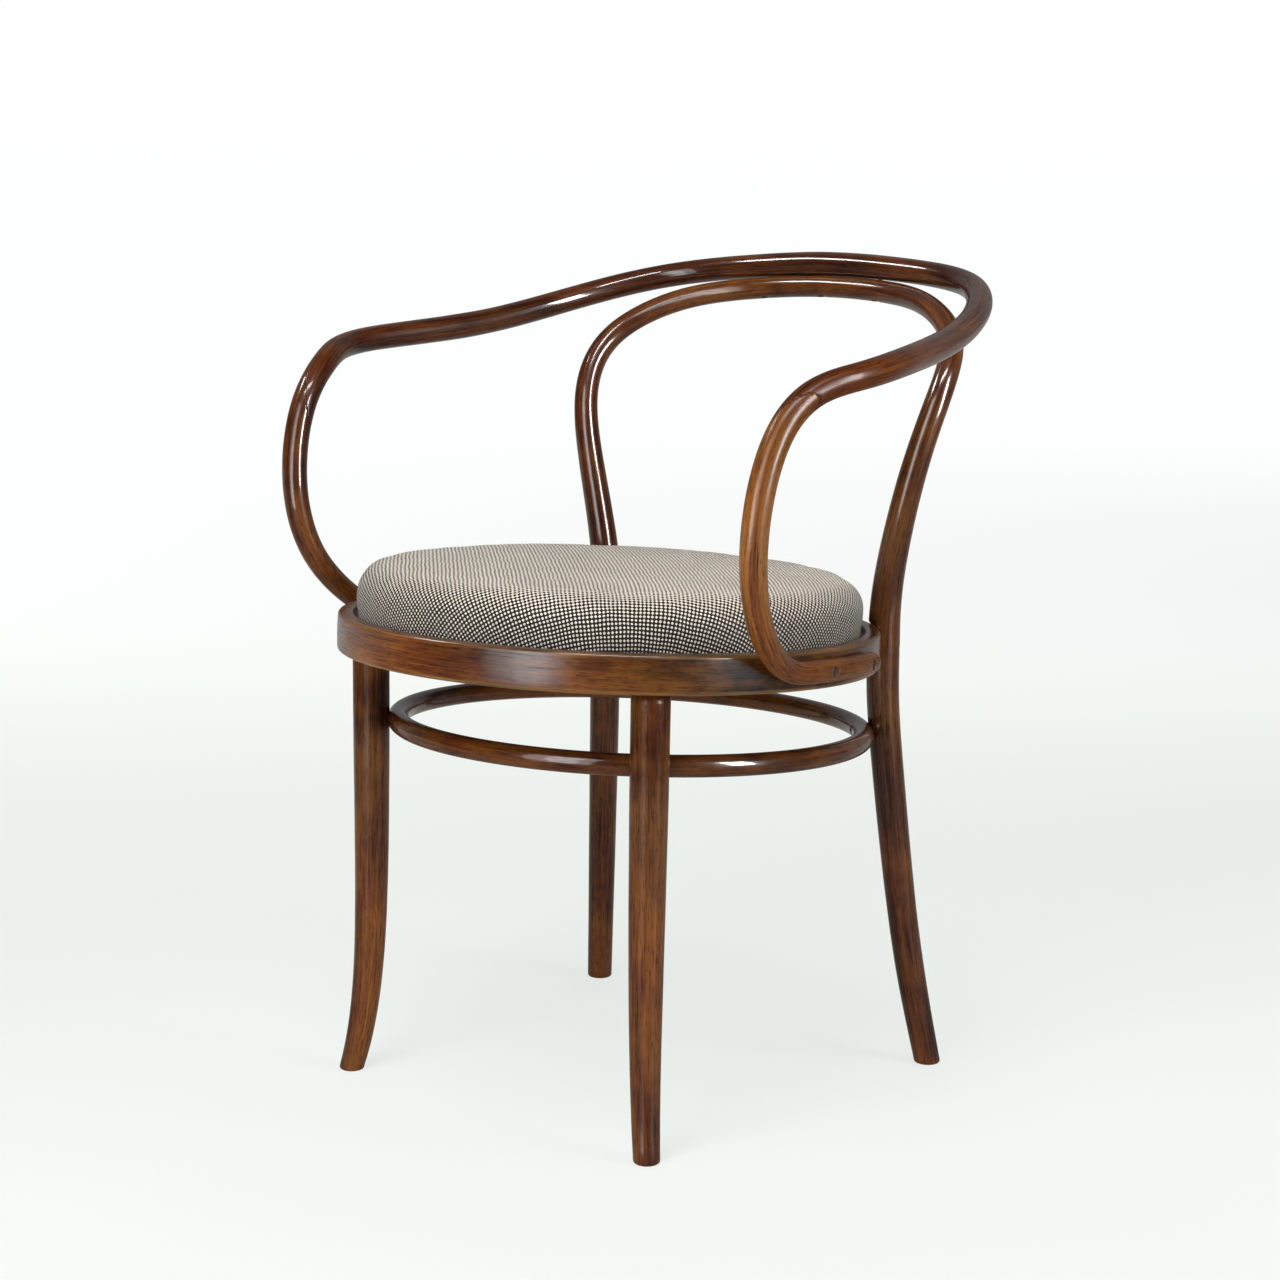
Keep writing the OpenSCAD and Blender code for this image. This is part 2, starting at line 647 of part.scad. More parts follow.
module cover_tacks() {
    color(steel) placed() tack_places() {
        cylinder(h = tack_l - tack_d, d = tack_d, $fn = small_fn);
        translate([0, 0, tack_l - tack_d])
            cylinder(h = tack_d, d1 = tack_d, d2 = tack_d / 8, $fn = small_fn);
        translate([0, 0, -tack_d]) rotate_extrude($fn = small_fn)
            polygon([[0, 0], [tack_head_d * 0.3, 0], [tack_head_d * 0.45, tack_d * 0.35],
                [tack_head_d / 2, tack_d * 0.8], [tack_head_d / 2, tack_d], [0, tack_d]]);
    }
}

module seat_screws() {
    color(steel) placed() for (a = seat_screw_angles) seat_screw_at(a, false);
}

module arm_screws() {
    color(steel) placed() for (m = [0, 1]) mirror([m, 0, 0])
        for (a = arm_screw_angles) arm_screw_at(a, false);
}

module stretcher_screws() {
    color(steel) placed() for (m = [0, 1]) mirror([m, 0, 0])
        for (post = stretch_posts) stretcher_screw_at(post, false);
}

module rail_screws() {
    color(steel) placed() for (u = rail_screw_places) rail_screw_at(u, false);
}

module bolt_places() {
    for (m = [0, 1]) mirror([m, 0, 0]) on_seat_plane() translate([0, 0, bolt_z])
        outward(bow_angle) children();
}

module rear_leg_bolts() {
    color(steel) placed() bolt_places() difference() {
        union() {
            translate([0, 0, nut_seat - washer_t - nut_h - bolt_tail])
                cylinder(h = bolt_seat - nut_seat + washer_t + nut_h + bolt_tail
                    + bolt_head_h / 3, d = bolt_d, $fn = small_fn);
            translate([0, 0, bolt_seat + seat_gap]) rotate_extrude($fn = small_fn)
                polygon([[0, 0], [bolt_head_d / 2, 0], [bolt_head_d * 0.45, bolt_head_h * 0.5],
                    [bolt_head_d * 0.3, bolt_head_h * 0.8], [0, bolt_head_h * 0.95]]);
        }
        translate([-bolt_head_d, -bolt_d / 10, bolt_seat + bolt_head_h * 0.55])
            cube([2 * bolt_head_d, bolt_d / 5, bolt_head_h]);
    }
}

module rear_leg_washers() {
    color(steel) placed() bolt_places() translate([0, 0, nut_seat - washer_t])
        difference() {
            cylinder(h = washer_t, d = washer_d, $fn = small_fn);
            translate([0, 0, -cut]) cylinder(h = washer_t + 2 * cut,
                d = bolt_d + 2 * fit_gap, $fn = small_fn);
        }
}

module rear_leg_nuts() {
    color(steel) placed() bolt_places()
        translate([0, 0, nut_seat - washer_t - seat_gap - nut_h]) difference() {
            cylinder(h = nut_h, d = nut_d, $fn = 6);
            translate([0, 0, -cut]) cylinder(h = nut_h + 2 * cut,
                d = bolt_d + fit_gap, $fn = small_fn);
        }
}

back_bow();
top_rail();
arm_left();
arm_right();
seat_ring();
front_leg_left();
front_leg_right();
stretcher_ring();
seat_board();
seat_foam();
seat_cover();
dust_cover();
cover_tacks();
seat_screws();
arm_screws();
stretcher_screws();
rail_screws();
rear_leg_bolts();
rear_leg_washers();
rear_leg_nuts();
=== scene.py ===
"""Looks of the bentwood armchair: bent rods, turned rings, the seat pad, fasteners and a plain studio."""

import logging
import math
from dataclasses import dataclass, field
from enum import Enum
from typing import Callable, Iterable, Optional, Sequence, Union

import bmesh
import bpy
from mathutils import Matrix, Vector, noise


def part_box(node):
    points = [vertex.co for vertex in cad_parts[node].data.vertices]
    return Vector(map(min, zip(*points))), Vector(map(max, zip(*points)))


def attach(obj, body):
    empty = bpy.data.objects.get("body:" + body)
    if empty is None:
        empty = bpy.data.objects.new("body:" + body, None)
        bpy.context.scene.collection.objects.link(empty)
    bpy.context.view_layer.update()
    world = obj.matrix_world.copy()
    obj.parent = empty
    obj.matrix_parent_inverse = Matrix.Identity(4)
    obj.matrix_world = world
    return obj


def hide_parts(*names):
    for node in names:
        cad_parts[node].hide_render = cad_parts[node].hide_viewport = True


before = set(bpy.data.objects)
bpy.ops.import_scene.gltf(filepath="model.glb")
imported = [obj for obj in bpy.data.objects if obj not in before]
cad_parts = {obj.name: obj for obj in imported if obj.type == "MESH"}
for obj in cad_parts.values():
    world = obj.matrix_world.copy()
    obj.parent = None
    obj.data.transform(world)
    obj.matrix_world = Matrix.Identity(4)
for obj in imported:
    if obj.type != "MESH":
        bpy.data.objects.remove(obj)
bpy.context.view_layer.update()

LOG = logging.getLogger("armchair")
MM = 0.001
UP = Vector((0, 0, 1))


# Shader tools


Colour = tuple[float, float, float]
Point = tuple[float, float, float]
Pair = tuple[float, float]
Edge = Pair
NO_SHIFT: Point = (0.0, 0.0, 0.0)


class Signal:
    """A value that flows through a material's nodes and takes part in arithmetic."""

    def __init__(self, tree: bpy.types.NodeTree, socket: bpy.types.NodeSocket) -> None:
        """Wraps an output socket.

        Args:
            tree: node tree that holds the socket.
            socket: output socket that carries the value.
        """
        self.tree = tree
        self.socket = socket

    def _math(self, operation: str, left: "Operand", right: "Operand" = 0.0) -> "Signal":
        """Adds one Math node.

        Args:
            operation: the node's operation.
            left: first value or signal.
            right: second value or signal.

        Returns:
            The node's result.
        """
        maths = self.tree.nodes.new("ShaderNodeMath")
        maths.operation = operation
        for slot, value in zip(maths.inputs, (left, right)):
            if isinstance(value, Signal):
                self.tree.links.new(value.socket, slot)
            else:
                slot.default_value = float(value)
        return Signal(self.tree, maths.outputs[0])

    def __add__(self, other: "Operand") -> "Signal":
        """Adds."""
        return self._math("ADD", self, other)

    def __radd__(self, other: "Operand") -> "Signal":
        """Adds from the right."""
        return self._math("ADD", other, self)

    def __sub__(self, other: "Operand") -> "Signal":
        """Subtracts."""
        return self._math("SUBTRACT", self, other)

    def __rsub__(self, other: "Operand") -> "Signal":
        """Subtracts from the right."""
        return self._math("SUBTRACT", other, self)

    def __mul__(self, other: "Operand") -> "Signal":
        """Multiplies."""
        return self._math("MULTIPLY", self, other)

    def __rmul__(self, other: "Operand") -> "Signal":
        """Multiplies from the right."""
        return self._math("MULTIPLY", other, self)

    def __truediv__(self, other: "Operand") -> "Signal":
        """Divides."""
        return self._math("DIVIDE", self, other)

    def __abs__(self) -> "Signal":
        """Drops the sign."""
        return self._math("ABSOLUTE", self)

    def cosine(self) -> "Signal":
        """Takes the cosine."""
        return self._math("COSINE", self)

    def whole(self) -> "Signal":
        """Rounds to the nearest whole number."""
        return self._math("ROUND", self)

    def above(self, edge: float, width: float) -> "Signal":
        """Rises softly from 0 to 1 where the value passes an edge.

        Args:
            edge: value at the middle of the rise.
            width: width of the rise.

        Returns:
            A mask from 0 to 1.
        """
        ramp = self.tree.nodes.new("ShaderNodeMapRange")
        ramp.interpolation_type = "SMOOTHSTEP"
        self.tree.links.new(self.socket, ramp.inputs["Value"])
        ramp.inputs["From Min"].default_value = edge - width / 2
        ramp.inputs["From Max"].default_value = edge + width / 2
        return Signal(self.tree, ramp.outputs["Result"])

    def below(self, edge: float, width: float) -> "Signal":
        """Falls softly from 1 to 0 where the value passes an edge of the given width."""
        return 1 - self.above(edge, width)


Operand = Union[Signal, float]


@dataclass(frozen=True)
class Pattern:
    """A soft random pattern: its lumps to a metre along each axis, its finer layers and their strength."""

    lumps: Point
    detail: float = 3.0
    rough: float = 0.5


class Finish:
    """The nodes of a material or a world: every one of them comes from here."""

    def __init__(self, owner: Union[bpy.types.Material, bpy.types.World]) -> None:
        """Starts with no nodes.

        Args:
            owner: the material or world.
        """
        owner.use_nodes = True
        self.owner = owner
        self.tree = owner.node_tree
        self.tree.nodes.clear()

    def node(
        self,
        kind: str,
        settings: Optional[dict[str, object]] = None,
        inputs: Optional[dict[Union[str, int], object]] = None,
        output: Union[str, int] = 0,
    ) -> Optional[Signal]:
        """Adds a node of any type.

        Args:
            kind: the node's type.
            settings: properties that are set first; stops is a ramp's list of (place, colour).
            inputs: values or signals of its sockets, by name or number.
            output: the socket that is handed back, by name or number.

        Returns:
            The chosen output, or None of a node that has no outputs.
        """
        made = self.tree.nodes.new(kind)
        for key, value in (settings or {}).items():
            if key == "stops":
                self._set_stops(made, value)
            else:
                setattr(made, key, value)
        for key, value in (inputs or {}).items():
            slot = made.inputs[key]
            if isinstance(value, Signal):
                self.tree.links.new(value.socket, slot)
            elif isinstance(value, tuple) and len(value) == 3 and slot.type == "RGBA":
                slot.default_value = (*value, 1.0)
            else:
                slot.default_value = value
        return Signal(self.tree, made.outputs[output]) if made.outputs else None

    @staticmethod
    def _set_stops(ramp: bpy.types.Node, stops: Sequence[tuple[float, Colour]]) -> None:
        """Gives a colour ramp its stops.

        Args:
            ramp: the ramp node.
            stops: pairs of place and colour, from 0 to 1.
        """
        elements = ramp.color_ramp.elements
        while len(elements) < len(stops):
            elements.new(0.5)
        for element, (place, colour) in zip(elements, stops):
            element.position = place
            element.color = (*colour, 1.0)

    def place(self) -> Signal:
        """Gives the place on the object, in metres."""
        return self.node("ShaderNodeTexCoord", output="Object")

    def carried(self, name: str) -> Signal:
        """Reads the vector that the mesh carries under a name."""
        return self.node("ShaderNodeAttribute", {"attribute_name": name}, output="Vector")

    def parts(self, vector: Signal) -> tuple[Signal, Signal, Signal]:
        """Splits a vector into its three numbers.

        Args:
            vector: the vector.

        Returns:
            Its X, Y and Z.
        """
        split = self.node("ShaderNodeSeparateXYZ", inputs={0: vector}).socket.node
        return tuple(Signal(self.tree, out) for out in split.outputs[:3])

    def cloud(self, vector: Signal, pattern: Pattern, shift: Point = NO_SHIFT) -> Signal:
        """Makes a soft random pattern.

        Args:
            vector: where it is read.
            pattern: its lumps and layers.
            shift: what sets it apart from another one with the same lumps.

        Returns:
            A value near 0.5.
        """
        place = self.node(
            "ShaderNodeVectorMath",
            {"operation": "MULTIPLY_ADD"},
            {0: vector, 1: pattern.lumps, 2: shift},
        )
        inputs = {"Vector": place, "Scale": 1.0, "Detail": pattern.detail, "Roughness": pattern.rough}
        return self.node("ShaderNodeTexNoise", inputs=inputs)

    def blended(self, share: Operand, first: object, second: object) -> Signal:
        """Mixes two colours.

        Args:
            share: share of the second one.
            first: first colour.
            second: second colour.

        Returns:
            The mixed colour.
        """
        settings = {"data_type": "RGBA", "blend_type": "MIX"}
        return self.node("ShaderNodeMix", settings, {0: share, 6: first, 7: second}, output=2)

    def raised(self, height: Signal, depth: float, under: Optional[Signal] = None) -> Signal:
        """Turns a height into a bumped normal.

        Args:
            height: height from 0 to 1.
            depth: real height of that range, in metres.
            under: normal that this one is laid on.

        Returns:
            The normal.
        """
        inputs: dict[Union[str, int], object] = {"Height": height, "Distance": depth, "Strength": 1.0}
        if under is not None:
            inputs["Normal"] = under
        return self.node("ShaderNodeBump", inputs=inputs)

    def rays(self) -> tuple[Signal, Signal]:
        """Tells the camera's own rays, and those that reflect or pass through, from all others.

        Returns:
            A mask of the camera's rays, and one of the others named.
        """
        names = ("Is Camera Ray", "Is Glossy Ray", "Is Transmission Ray")
        camera, glossy, through = (self.node("ShaderNodeLightPath", output=name) for name in names)
        return camera, glossy + through

    def surface(self, **sockets: object) -> bpy.types.Material:
        """Closes the material with a principled surface.

        Args:
            sockets: the surface's sockets, with underscores for blanks.

        Returns:
            The finished material.
        """
        named = {key.replace("_", " "): value for key, value in sockets.items()}
        shader = self.node("ShaderNodeBsdfPrincipled", inputs=named)
        self.node("ShaderNodeOutputMaterial", inputs={"Surface": shader})
        return self.owner


# Finishes


@dataclass(frozen=True)
class StainedBeech:
    """Bent beech, stained walnut and lacquered. It reads the grain that the mesh carries.

    An Edge is the middle and the width of a mask's rise. A stretch, in the tone and worn-lacquer lists, is
    its middle and reach along the grain, and its strength. The tone stretches also carry painted light and
    shade on the ring, and the faces inward of a ring's rim get painted shade.
    """

    name: str
    tone: float = 0.0
    amber: float = 0.3
    seed: float = 0.0
    coat_rough: float = 0.08
    joint: Optional[tuple[Vector, Vector]] = None
    worn_edges: Optional[Pair] = None
    shaded_inner_face: Optional[float] = None
    lacquer: float = 1.0
    tone_and_shade: tuple[Point, ...] = ()
    worn_lacquer: tuple[Point, ...] = ()

    patches: Pattern = Pattern((26.0, 26.0, 7.0))
    stain: Pattern = Pattern((22.0, 22.0, 14.0), 4.0, 0.6)
    bands: Pattern = Pattern((230.0, 230.0, 5.0), 4.0)
    fibres: Pattern = Pattern((620.0, 620.0, 20.0), 5.0, 0.62)
    flecks: Pattern = Pattern((850.0, 850.0, 95.0), 2.0)
    ripple: Pattern = Pattern((75.0, 75.0, 26.0), 1.0)

    black: Colour = (0.011, 0.0040, 0.0024)
    dark: Colour = (0.030, 0.0068, 0.0028)
    brown: Colour = (0.078, 0.0178, 0.0044)
    russet: Colour = (0.142, 0.0360, 0.0062)
    honey: Colour = (0.28, 0.102, 0.0135)
    bare: Colour = (0.36, 0.20, 0.075)
    stops: tuple[float, ...] = (0.06, 0.26, 0.50, 0.74, 1.0)

    streak_shares: Point = (0.34, 0.26, 0.40)
    contrast: float = 2.7
    level: float = 0.40
    glow_edge: Edge = (0.58, 0.30)
    glow_spread: float = 0.16
    glow_share: float = 0.30
    fleck_edge: Edge = (0.60, 0.07)
    fibre_edge: Edge = (0.38, 0.08)
    pore_shares: Pair = (0.6, 0.45)
    pore_dark: float = 0.85
    bare_share: float = 0.55
    painted_gap_shade: float = 0.8
    rough: float = 0.12
    rough_shares: Point = (0.20, 0.14, 0.12)
    coat_edge: Edge = (0.36, 0.26)
    coat_shares: Point = (0.38, 0.45, 0.25)

    ripple_height: float = 0.45 * MM
    fibre_height: float = 0.045 * MM
    fleck_relief: float = 0.4
    outer_edge: Edge = (-4.0 * MM, 3.0 * MM)
    rim_edge: Edge = (2.6 * MM, 2.4 * MM)
    top_wear: float = 0.5
    uneven_wear: float = 0.8
    wear_edge: Edge = (0.74, 0.5)
    painted_gap_shade_width: float = 1.5 * MM
    glue_line: Edge = (0.34 * MM, 0.3 * MM)
    glue_reach: Edge = (60 * MM, 4 * MM)
    glue_dark: float = 0.6

    def build(self) -> bpy.types.Material:
        """Builds the material.

        Returns:
            The material.
        """
        finish = Finish(bpy.data.materials.new(self.name))
        grain = finish.carried("grain")
        across, height, along = finish.parts(grain)
        shift = (self.seed, 2 * self.seed, 3 * self.seed)
        patterns = (self.patches, self.stain, self.bands, self.fibres, self.flecks, self.ripple)
        clouds = (finish.cloud(grain, pattern, shift) for pattern in patterns)
        patches, stain, bands, fibres, flecks, ripple = clouds

        shares = self.streak_shares
        streak = patches * shares[0] + bands * shares[1] + fibres * shares[2]
        level = (streak - 0.5) * self.contrast + self.level + self.tone
        # Stretches of lighter and darker tone along the grain; on the ring they include painted light and
        # painted shade.
        level = level + self._stretches(along, self.tone_and_shade)
        colours = (self.black, self.dark, self.brown, self.russet, self.honey)
        colour = finish.node("ShaderNodeValToRGB", {"stops": list(zip(self.stops, colours))}, {0: level})
        edge, width = self.glow_edge
        glow = stain.above(edge - self.glow_spread * self.amber, width) * self.amber
        colour = finish.blended(glow * (self.glow_share + bands), colour, self.honey)
        of_flecks, of_fibres = self.pore_shares
        pore = flecks.above(*self.fleck_edge) * of_flecks + fibres.below(*self.fibre_edge) * of_fibres
        colour = finish.blended(pore * self.pore_dark, colour, self.black)

        worn: Operand = 0.0
        if self.worn_edges is not None:
            worn = self._edge_wear(across, height, (patches + fibres) * self.uneven_wear)
            colour = finish.blended(worn * self.bare_share, colour, self.bare)
        # Painted shade: the faces inward of the rim, in the gap beside the seat pad, are darkened towards
        # black.
        if self.shaded_inner_face is not None:
            inside = across.below(self.shaded_inner_face, self.painted_gap_shade_width)
            colour = finish.blended(inside * self.painted_gap_shade, colour, self.black)
        if self.joint is not None:
            colour = self._joint_line(finish, colour)

        normal = finish.raised(ripple, self.ripple_height)
        normal = finish.raised(fibres + flecks * self.fleck_relief, self.fibre_height, normal)
        base, gain, loss = self.coat_shares
        coat = fibres.above(*self.coat_edge) * gain + base - pore * loss
        shares = self.rough_shares
        return finish.surface(
            Base_Color=colour,
            Roughness=self.rough + patches * shares[0] + fibres * shares[1] + worn * shares[2],
            Normal=normal,
            Specular_IOR_Level=0.10,
            Coat_Weight=coat * (self.lacquer - self._stretches(along, self.worn_lacquer)),
            Coat_Roughness=self.coat_rough,
        )

    @staticmethod
    def _stretches(along: Signal, listed: Iterable[Point]) -> Operand:
        """Adds up what some stretches of a piece have more than the rest.

        Args:
            along: place along the grain.
            listed: the stretches.

        Returns:
            The sum, which is 0 away from the stretches.
        """
        total: Operand = 0.0
        for middle, reach, strength in listed:
            total = total + abs(along - middle).below(reach, reach) * strength
        return total

    def _edge_wear(self, across: Signal, height: Signal, uneven: Signal) -> Signal:
        """Finds where the stain is rubbed thin along the ring's outer edges.

        Args:
            across: place across the ring, from its outer face.
            height: place over the ring's top.
            uneven: what makes the wear patchy.

        Returns:
            A mask from 0 to 1.
        """
        top, bottom = self.worn_edges
        inward, width = self.rim_edge
        outer = across.above(*self.outer_edge)
        high = height.above(top - inward, width)
        low = height.below(bottom + inward, width)
        return outer * (high * self.top_wear + low) * uneven.above(*self.wear_edge)

    def _joint_line(self, finish: Finish, colour: Signal) -> Signal:
        """Draws the thin dark glue line of a slanted joint, on both sides of the chair.

        Args:
            finish: the material under construction.
            colour: the wood's colour.

        Returns:
            The colour with the line.
        """
        middle, normal = self.joint
        x, y, z = finish.parts(finish.place())
        gap = (abs(x) - middle.x) * normal.x + (y - middle.y) * normal.y + (z - middle.z) * normal.z
        near = abs(y - middle.y).below(*self.glue_reach)
        line = abs(gap).below(*self.glue_line)
        return finish.blended(line * near * self.glue_dark, colour, self.black)


@dataclass(frozen=True)
class DottedWeave:
    """Upholstery cloth of pale dots on dark yarn. It reads the flat cloth's place from the mesh."""

    name: str = "dotted_weave"
    pitch: float = 3.3 * MM
    drift: float = 2.6 * MM
    pulls: Pattern = Pattern((48.0, 48.0, 0.0), 2.0)
    fluff: Pattern = Pattern((2600.0, 2600.0, 0.0), 2.0)
    wear: Pattern = Pattern((16.0, 16.0, 0.0))
    sway_shift: Point = (3.7, 1.9, 0.0)
    pale: Colour = (0.92, 0.855, 0.73)
    taupe: Colour = (0.40, 0.34, 0.27)
    ground: Colour = (0.012, 0.0075, 0.0085)
    cover: Edge = (0.43, 0.14)
    side_gap: float = 0.24
    uneven: Pair = (0.12, 0.18)
    yarn_shares: Pair = (0.40, 0.25)
    wear_base: float = 0.35
    wear_share: float = 0.5
    relief: float = 0.55 * MM

    def build(self) -> bpy.types.Material:
        """Builds the material.

        Returns:
            The material.
        """
        finish = Finish(bpy.data.materials.new(self.name))
        cloth = finish.carried("cloth")
        x, y, lie = finish.parts(cloth)
        pull = finish.cloud(cloth, self.pulls) - 0.5
        sway = finish.cloud(cloth, self.pulls, self.sway_shift) - 0.5
        u = (x + pull * self.drift) / self.pitch
        v = (y + sway * self.drift) / self.pitch
        number = finish.node("ShaderNodeCombineXYZ", inputs={0: u.whole(), 1: v.whole(), 2: 0.0})
        cell = finish.node("ShaderNodeTexWhiteNoise", {"noise_dimensions": "2D"}, {"Vector": number})
        dot = ((u * math.tau).cosine() + (v * math.tau).cosine()) * 0.25 + 0.5
        fuzz = finish.cloud(cloth, self.fluff)
        of_cell, of_fuzz = self.uneven
        edge = dot + (cell - 0.5) * of_cell + (fuzz - 0.5) * of_fuzz - lie * self.side_gap
        mask = edge.above(*self.cover)
        of_cell, of_fuzz = self.yarn_shares
        yarn = finish.blended(cell * of_cell + fuzz * of_fuzz, self.pale, self.taupe)
        worn = (finish.cloud(cloth, self.wear) - self.wear_base) * self.wear_share
        yarn = finish.blended(worn, yarn, self.taupe)
        height = dot * 0.8 + fuzz * 0.25 + mask * 0.2
        return finish.surface(
            Base_Color=finish.blended(mask, self.ground, yarn),
            Roughness=0.82 + fuzz * 0.12,
            Normal=finish.raised(height, self.relief),
            Sheen_Weight=0.12,
            Sheen_Roughness=0.5,
            Specular_IOR_Level=0.2,
        )


@dataclass(frozen=True)
class SpunCloth:
    """Black bonded cloth of the kind that closes a seat from below."""

    name: str = "black_underlining"
    fibres: Pattern = Pattern((420.0, 900.0, 420.0), 5.0, 0.7)
    bonds: float = 480.0
    black: Colour = (0.010, 0.010, 0.011)
    grey: Colour = (0.034, 0.034, 0.036)
    relief: float = 0.18 * MM

    def build(self) -> bpy.types.Material:
        """Builds the material.

        Returns:
            The material.
        """
        finish = Finish(bpy.data.materials.new(self.name))
        place = finish.place()
        fibre = finish.cloud(place, self.fibres)
        bond = finish.node(
            "ShaderNodeTexVoronoi",
            {"feature": "F1"},
            {"Vector": place, "Scale": self.bonds, "Randomness": 0.25},
            output="Distance",
        )
        return finish.surface(
            Base_Color=finish.blended(fibre, self.black, self.grey),
            Roughness=0.78 + fibre * 0.15,
            Normal=finish.raised(bond * 0.7 + fibre * 0.3, self.relief),
        )


@dataclass(frozen=True)
class BareMetal:
    """Steel of a fastener, with light turning marks and patchy dirt."""

    name: str
    bright: Colour
    dull: Colour
    rough: float = 0.34
    dirt: Pattern = Pattern((900.0, 900.0, 900.0), 4.0)
    marks: Pattern = Pattern((350.0, 2400.0, 350.0), 2.0)
    relief: float = 0.03 * MM

    def build(self) -> bpy.types.Material:
        """Builds the material.

        Returns:
            The material.
        """
        finish = Finish(bpy.data.materials.new(self.name))
        place = finish.place()
        spots = finish.cloud(place, self.dirt)
        return finish.surface(
            Base_Color=finish.blended(spots.above(0.52, 0.3), self.bright, self.dull),
            Metallic=0.9 - spots.above(0.62, 0.2) * 0.3,
            Roughness=self.rough + spots * 0.22,
            Normal=finish.raised(finish.cloud(place, self.marks), self.relief),
        )


@dataclass(frozen=True)
class Plywood:
    """Bare birch plywood, with its plies on the edge."""

    name: str = "seat_plywood"
    fibres: Pattern = Pattern((12.0, 420.0, 420.0), 4.0)
    pale: Colour = (0.56, 0.40, 0.235)
    brown: Colour = (0.30, 0.175, 0.08)
    ply: float = 1.45 * MM
    relief: float = 0.08 * MM

    def build(self) -> bpy.types.Material:
        """Builds the material.

        Returns:
            The material.
        """
        finish = Finish(bpy.data.materials.new(self.name))
        place = finish.place()
        _, _, height = finish.parts(place)
        grain = finish.cloud(place, self.fibres)
        plies = (height * (math.tau / self.ply)).cosine().above(0.0, 0.5)
        return finish.surface(
            Base_Color=finish.blended(grain * 0.6 + plies * 0.25, self.pale, self.brown),
            Roughness=0.62 + grain * 0.2,
            Normal=finish.raised(grain, self.relief),
        )


@dataclass(frozen=True)
class StudioFloor:
    """Pale seamless floor that keeps the chair's soft shadow, has a painted shade towards the right behind
    the chair, and fades into the backdrop.

    Places are in metres behind the chair, as the camera sees it, and an Edge is the middle and the width
    of a fade. Only chair_side is measured on the squared distance from the chair.
    """

    azimuth: float
    haze: Colour
    name: str = "studio_floor"
    tint: Colour = (0.955, 1.0, 0.96)
    paint: Colour = (0.80, 0.82, 0.79)
    soil: Colour = (0.72, 0.73, 0.69)
    mottle: Pattern = Pattern((1.7, 1.7, 1.7), 5.0)
    chair_side: Edge = (9.0, 25.0)
    backdrop: Edge = (1.3, 2.2)
    whitening: Edge = (1.9, 3.2)
    mirror_fade: Edge = (0.6, 1.6)
    lean: float = 0.032
    lean_start: Edge = (0.6, 1.2)
    lean_end: Edge = (5.5, 5.0)
    lean_side: float = 1.3
    glow_shares: Pair = (0.7, 0.3)
    mirror_glow: float = 0.8
    mirror_dim: Pair = (0.88, 0.45)

    def build(self) -> bpy.types.Material:
        """Builds the material.

        Returns:
            The material.
        """
        finish = Finish(bpy.data.materials.new(self.name))
        place = finish.place()
        x, y, _ = finish.parts(place)
        turn = math.radians(self.azimuth)
        behind = y * math.cos(turn) - x * math.sin(turn)
        beside = x * math.cos(turn) + y * math.sin(turn)
        mottle = finish.cloud(place, self.mottle).above(0.5, 0.5)
        paint = finish.blended(mottle * 0.5, self.paint, self.soil)
        camera, mirror = finish.rays()
        close = (x * x + y * y).below(*self.chair_side)
        far = 1 - behind.below(*self.backdrop) * close
        white = 1 - behind.below(*self.whitening) * close
        base, gain = self.glow_shares
        seen = camera * (far * gain + base) + mirror * self.mirror_glow
        glow = finish.blended(white, self.tint, self.haze)
        # Painted shade: behind the chair the floor's glow grows darker towards the right, and fades out far
        # back.
        side = (beside + self.lean_side) * self.lean * behind.above(*self.lean_start)
        shade = side * behind.below(*self.lean_end)
        dim, fade = self.mirror_dim
        dimmed = mirror * (1 - behind.above(*self.mirror_fade) * fade)
        glow = finish.blended(shade + dimmed * dim, glow, (0.0, 0.0, 0.0))
        body = finish.node(
            "ShaderNodeBsdfPrincipled",
            inputs={"Base Color": paint, "Roughness": 0.6, "Specular IOR Level": 0.2},
        )
        light = finish.node("ShaderNodeEmission", inputs={"Color": glow, "Strength": 1.0})
        mixed = finish.node("ShaderNodeMixShader", inputs={0: seen, 1: body, 2: light})
        finish.node("ShaderNodeOutputMaterial", inputs={"Surface": mixed})
        return finish.owner


# Geometry tools


def mix(first: float, second: float, share: float) -> float:
    """Goes from one number to another.

    Args:
        first: value at share 0.
        second: value at share 1.
        share: how far along.

    Returns:
        The number between them.
    """
    return first + (second - first) * share


def polar(radius: float, angle: float) -> Vector:
    """Gives a point on a circle.

    Args:
        radius: distance from the middle.
        angle: angle in degrees, from +X towards +Y.

    Returns:
        The point, with Z at zero.
    """
    turn = math.radians(angle)
    return Vector((radius * math.cos(turn), radius * math.sin(turn), 0.0))


def mirrored(point: Vector) -> Vector:
    """Gives a point's image on the chair's other side."""
    return Vector((-point.x, point.y, point.z))


def lookup(value: float, table: Sequence[Pair]) -> float:
    """Reads a value between the rows of a short table.

    Args:
        value: what is looked up.
        table: pairs in rising order.

    Returns:
        The value between the nearest rows.
    """
    if value <= table[0][0]:
        return table[0][1]
    for (low, first), (high, second) in zip(table, table[1:]):
        if value <= high:
            return mix(first, second, (value - low) / (high - low))
    return table[-1][1]


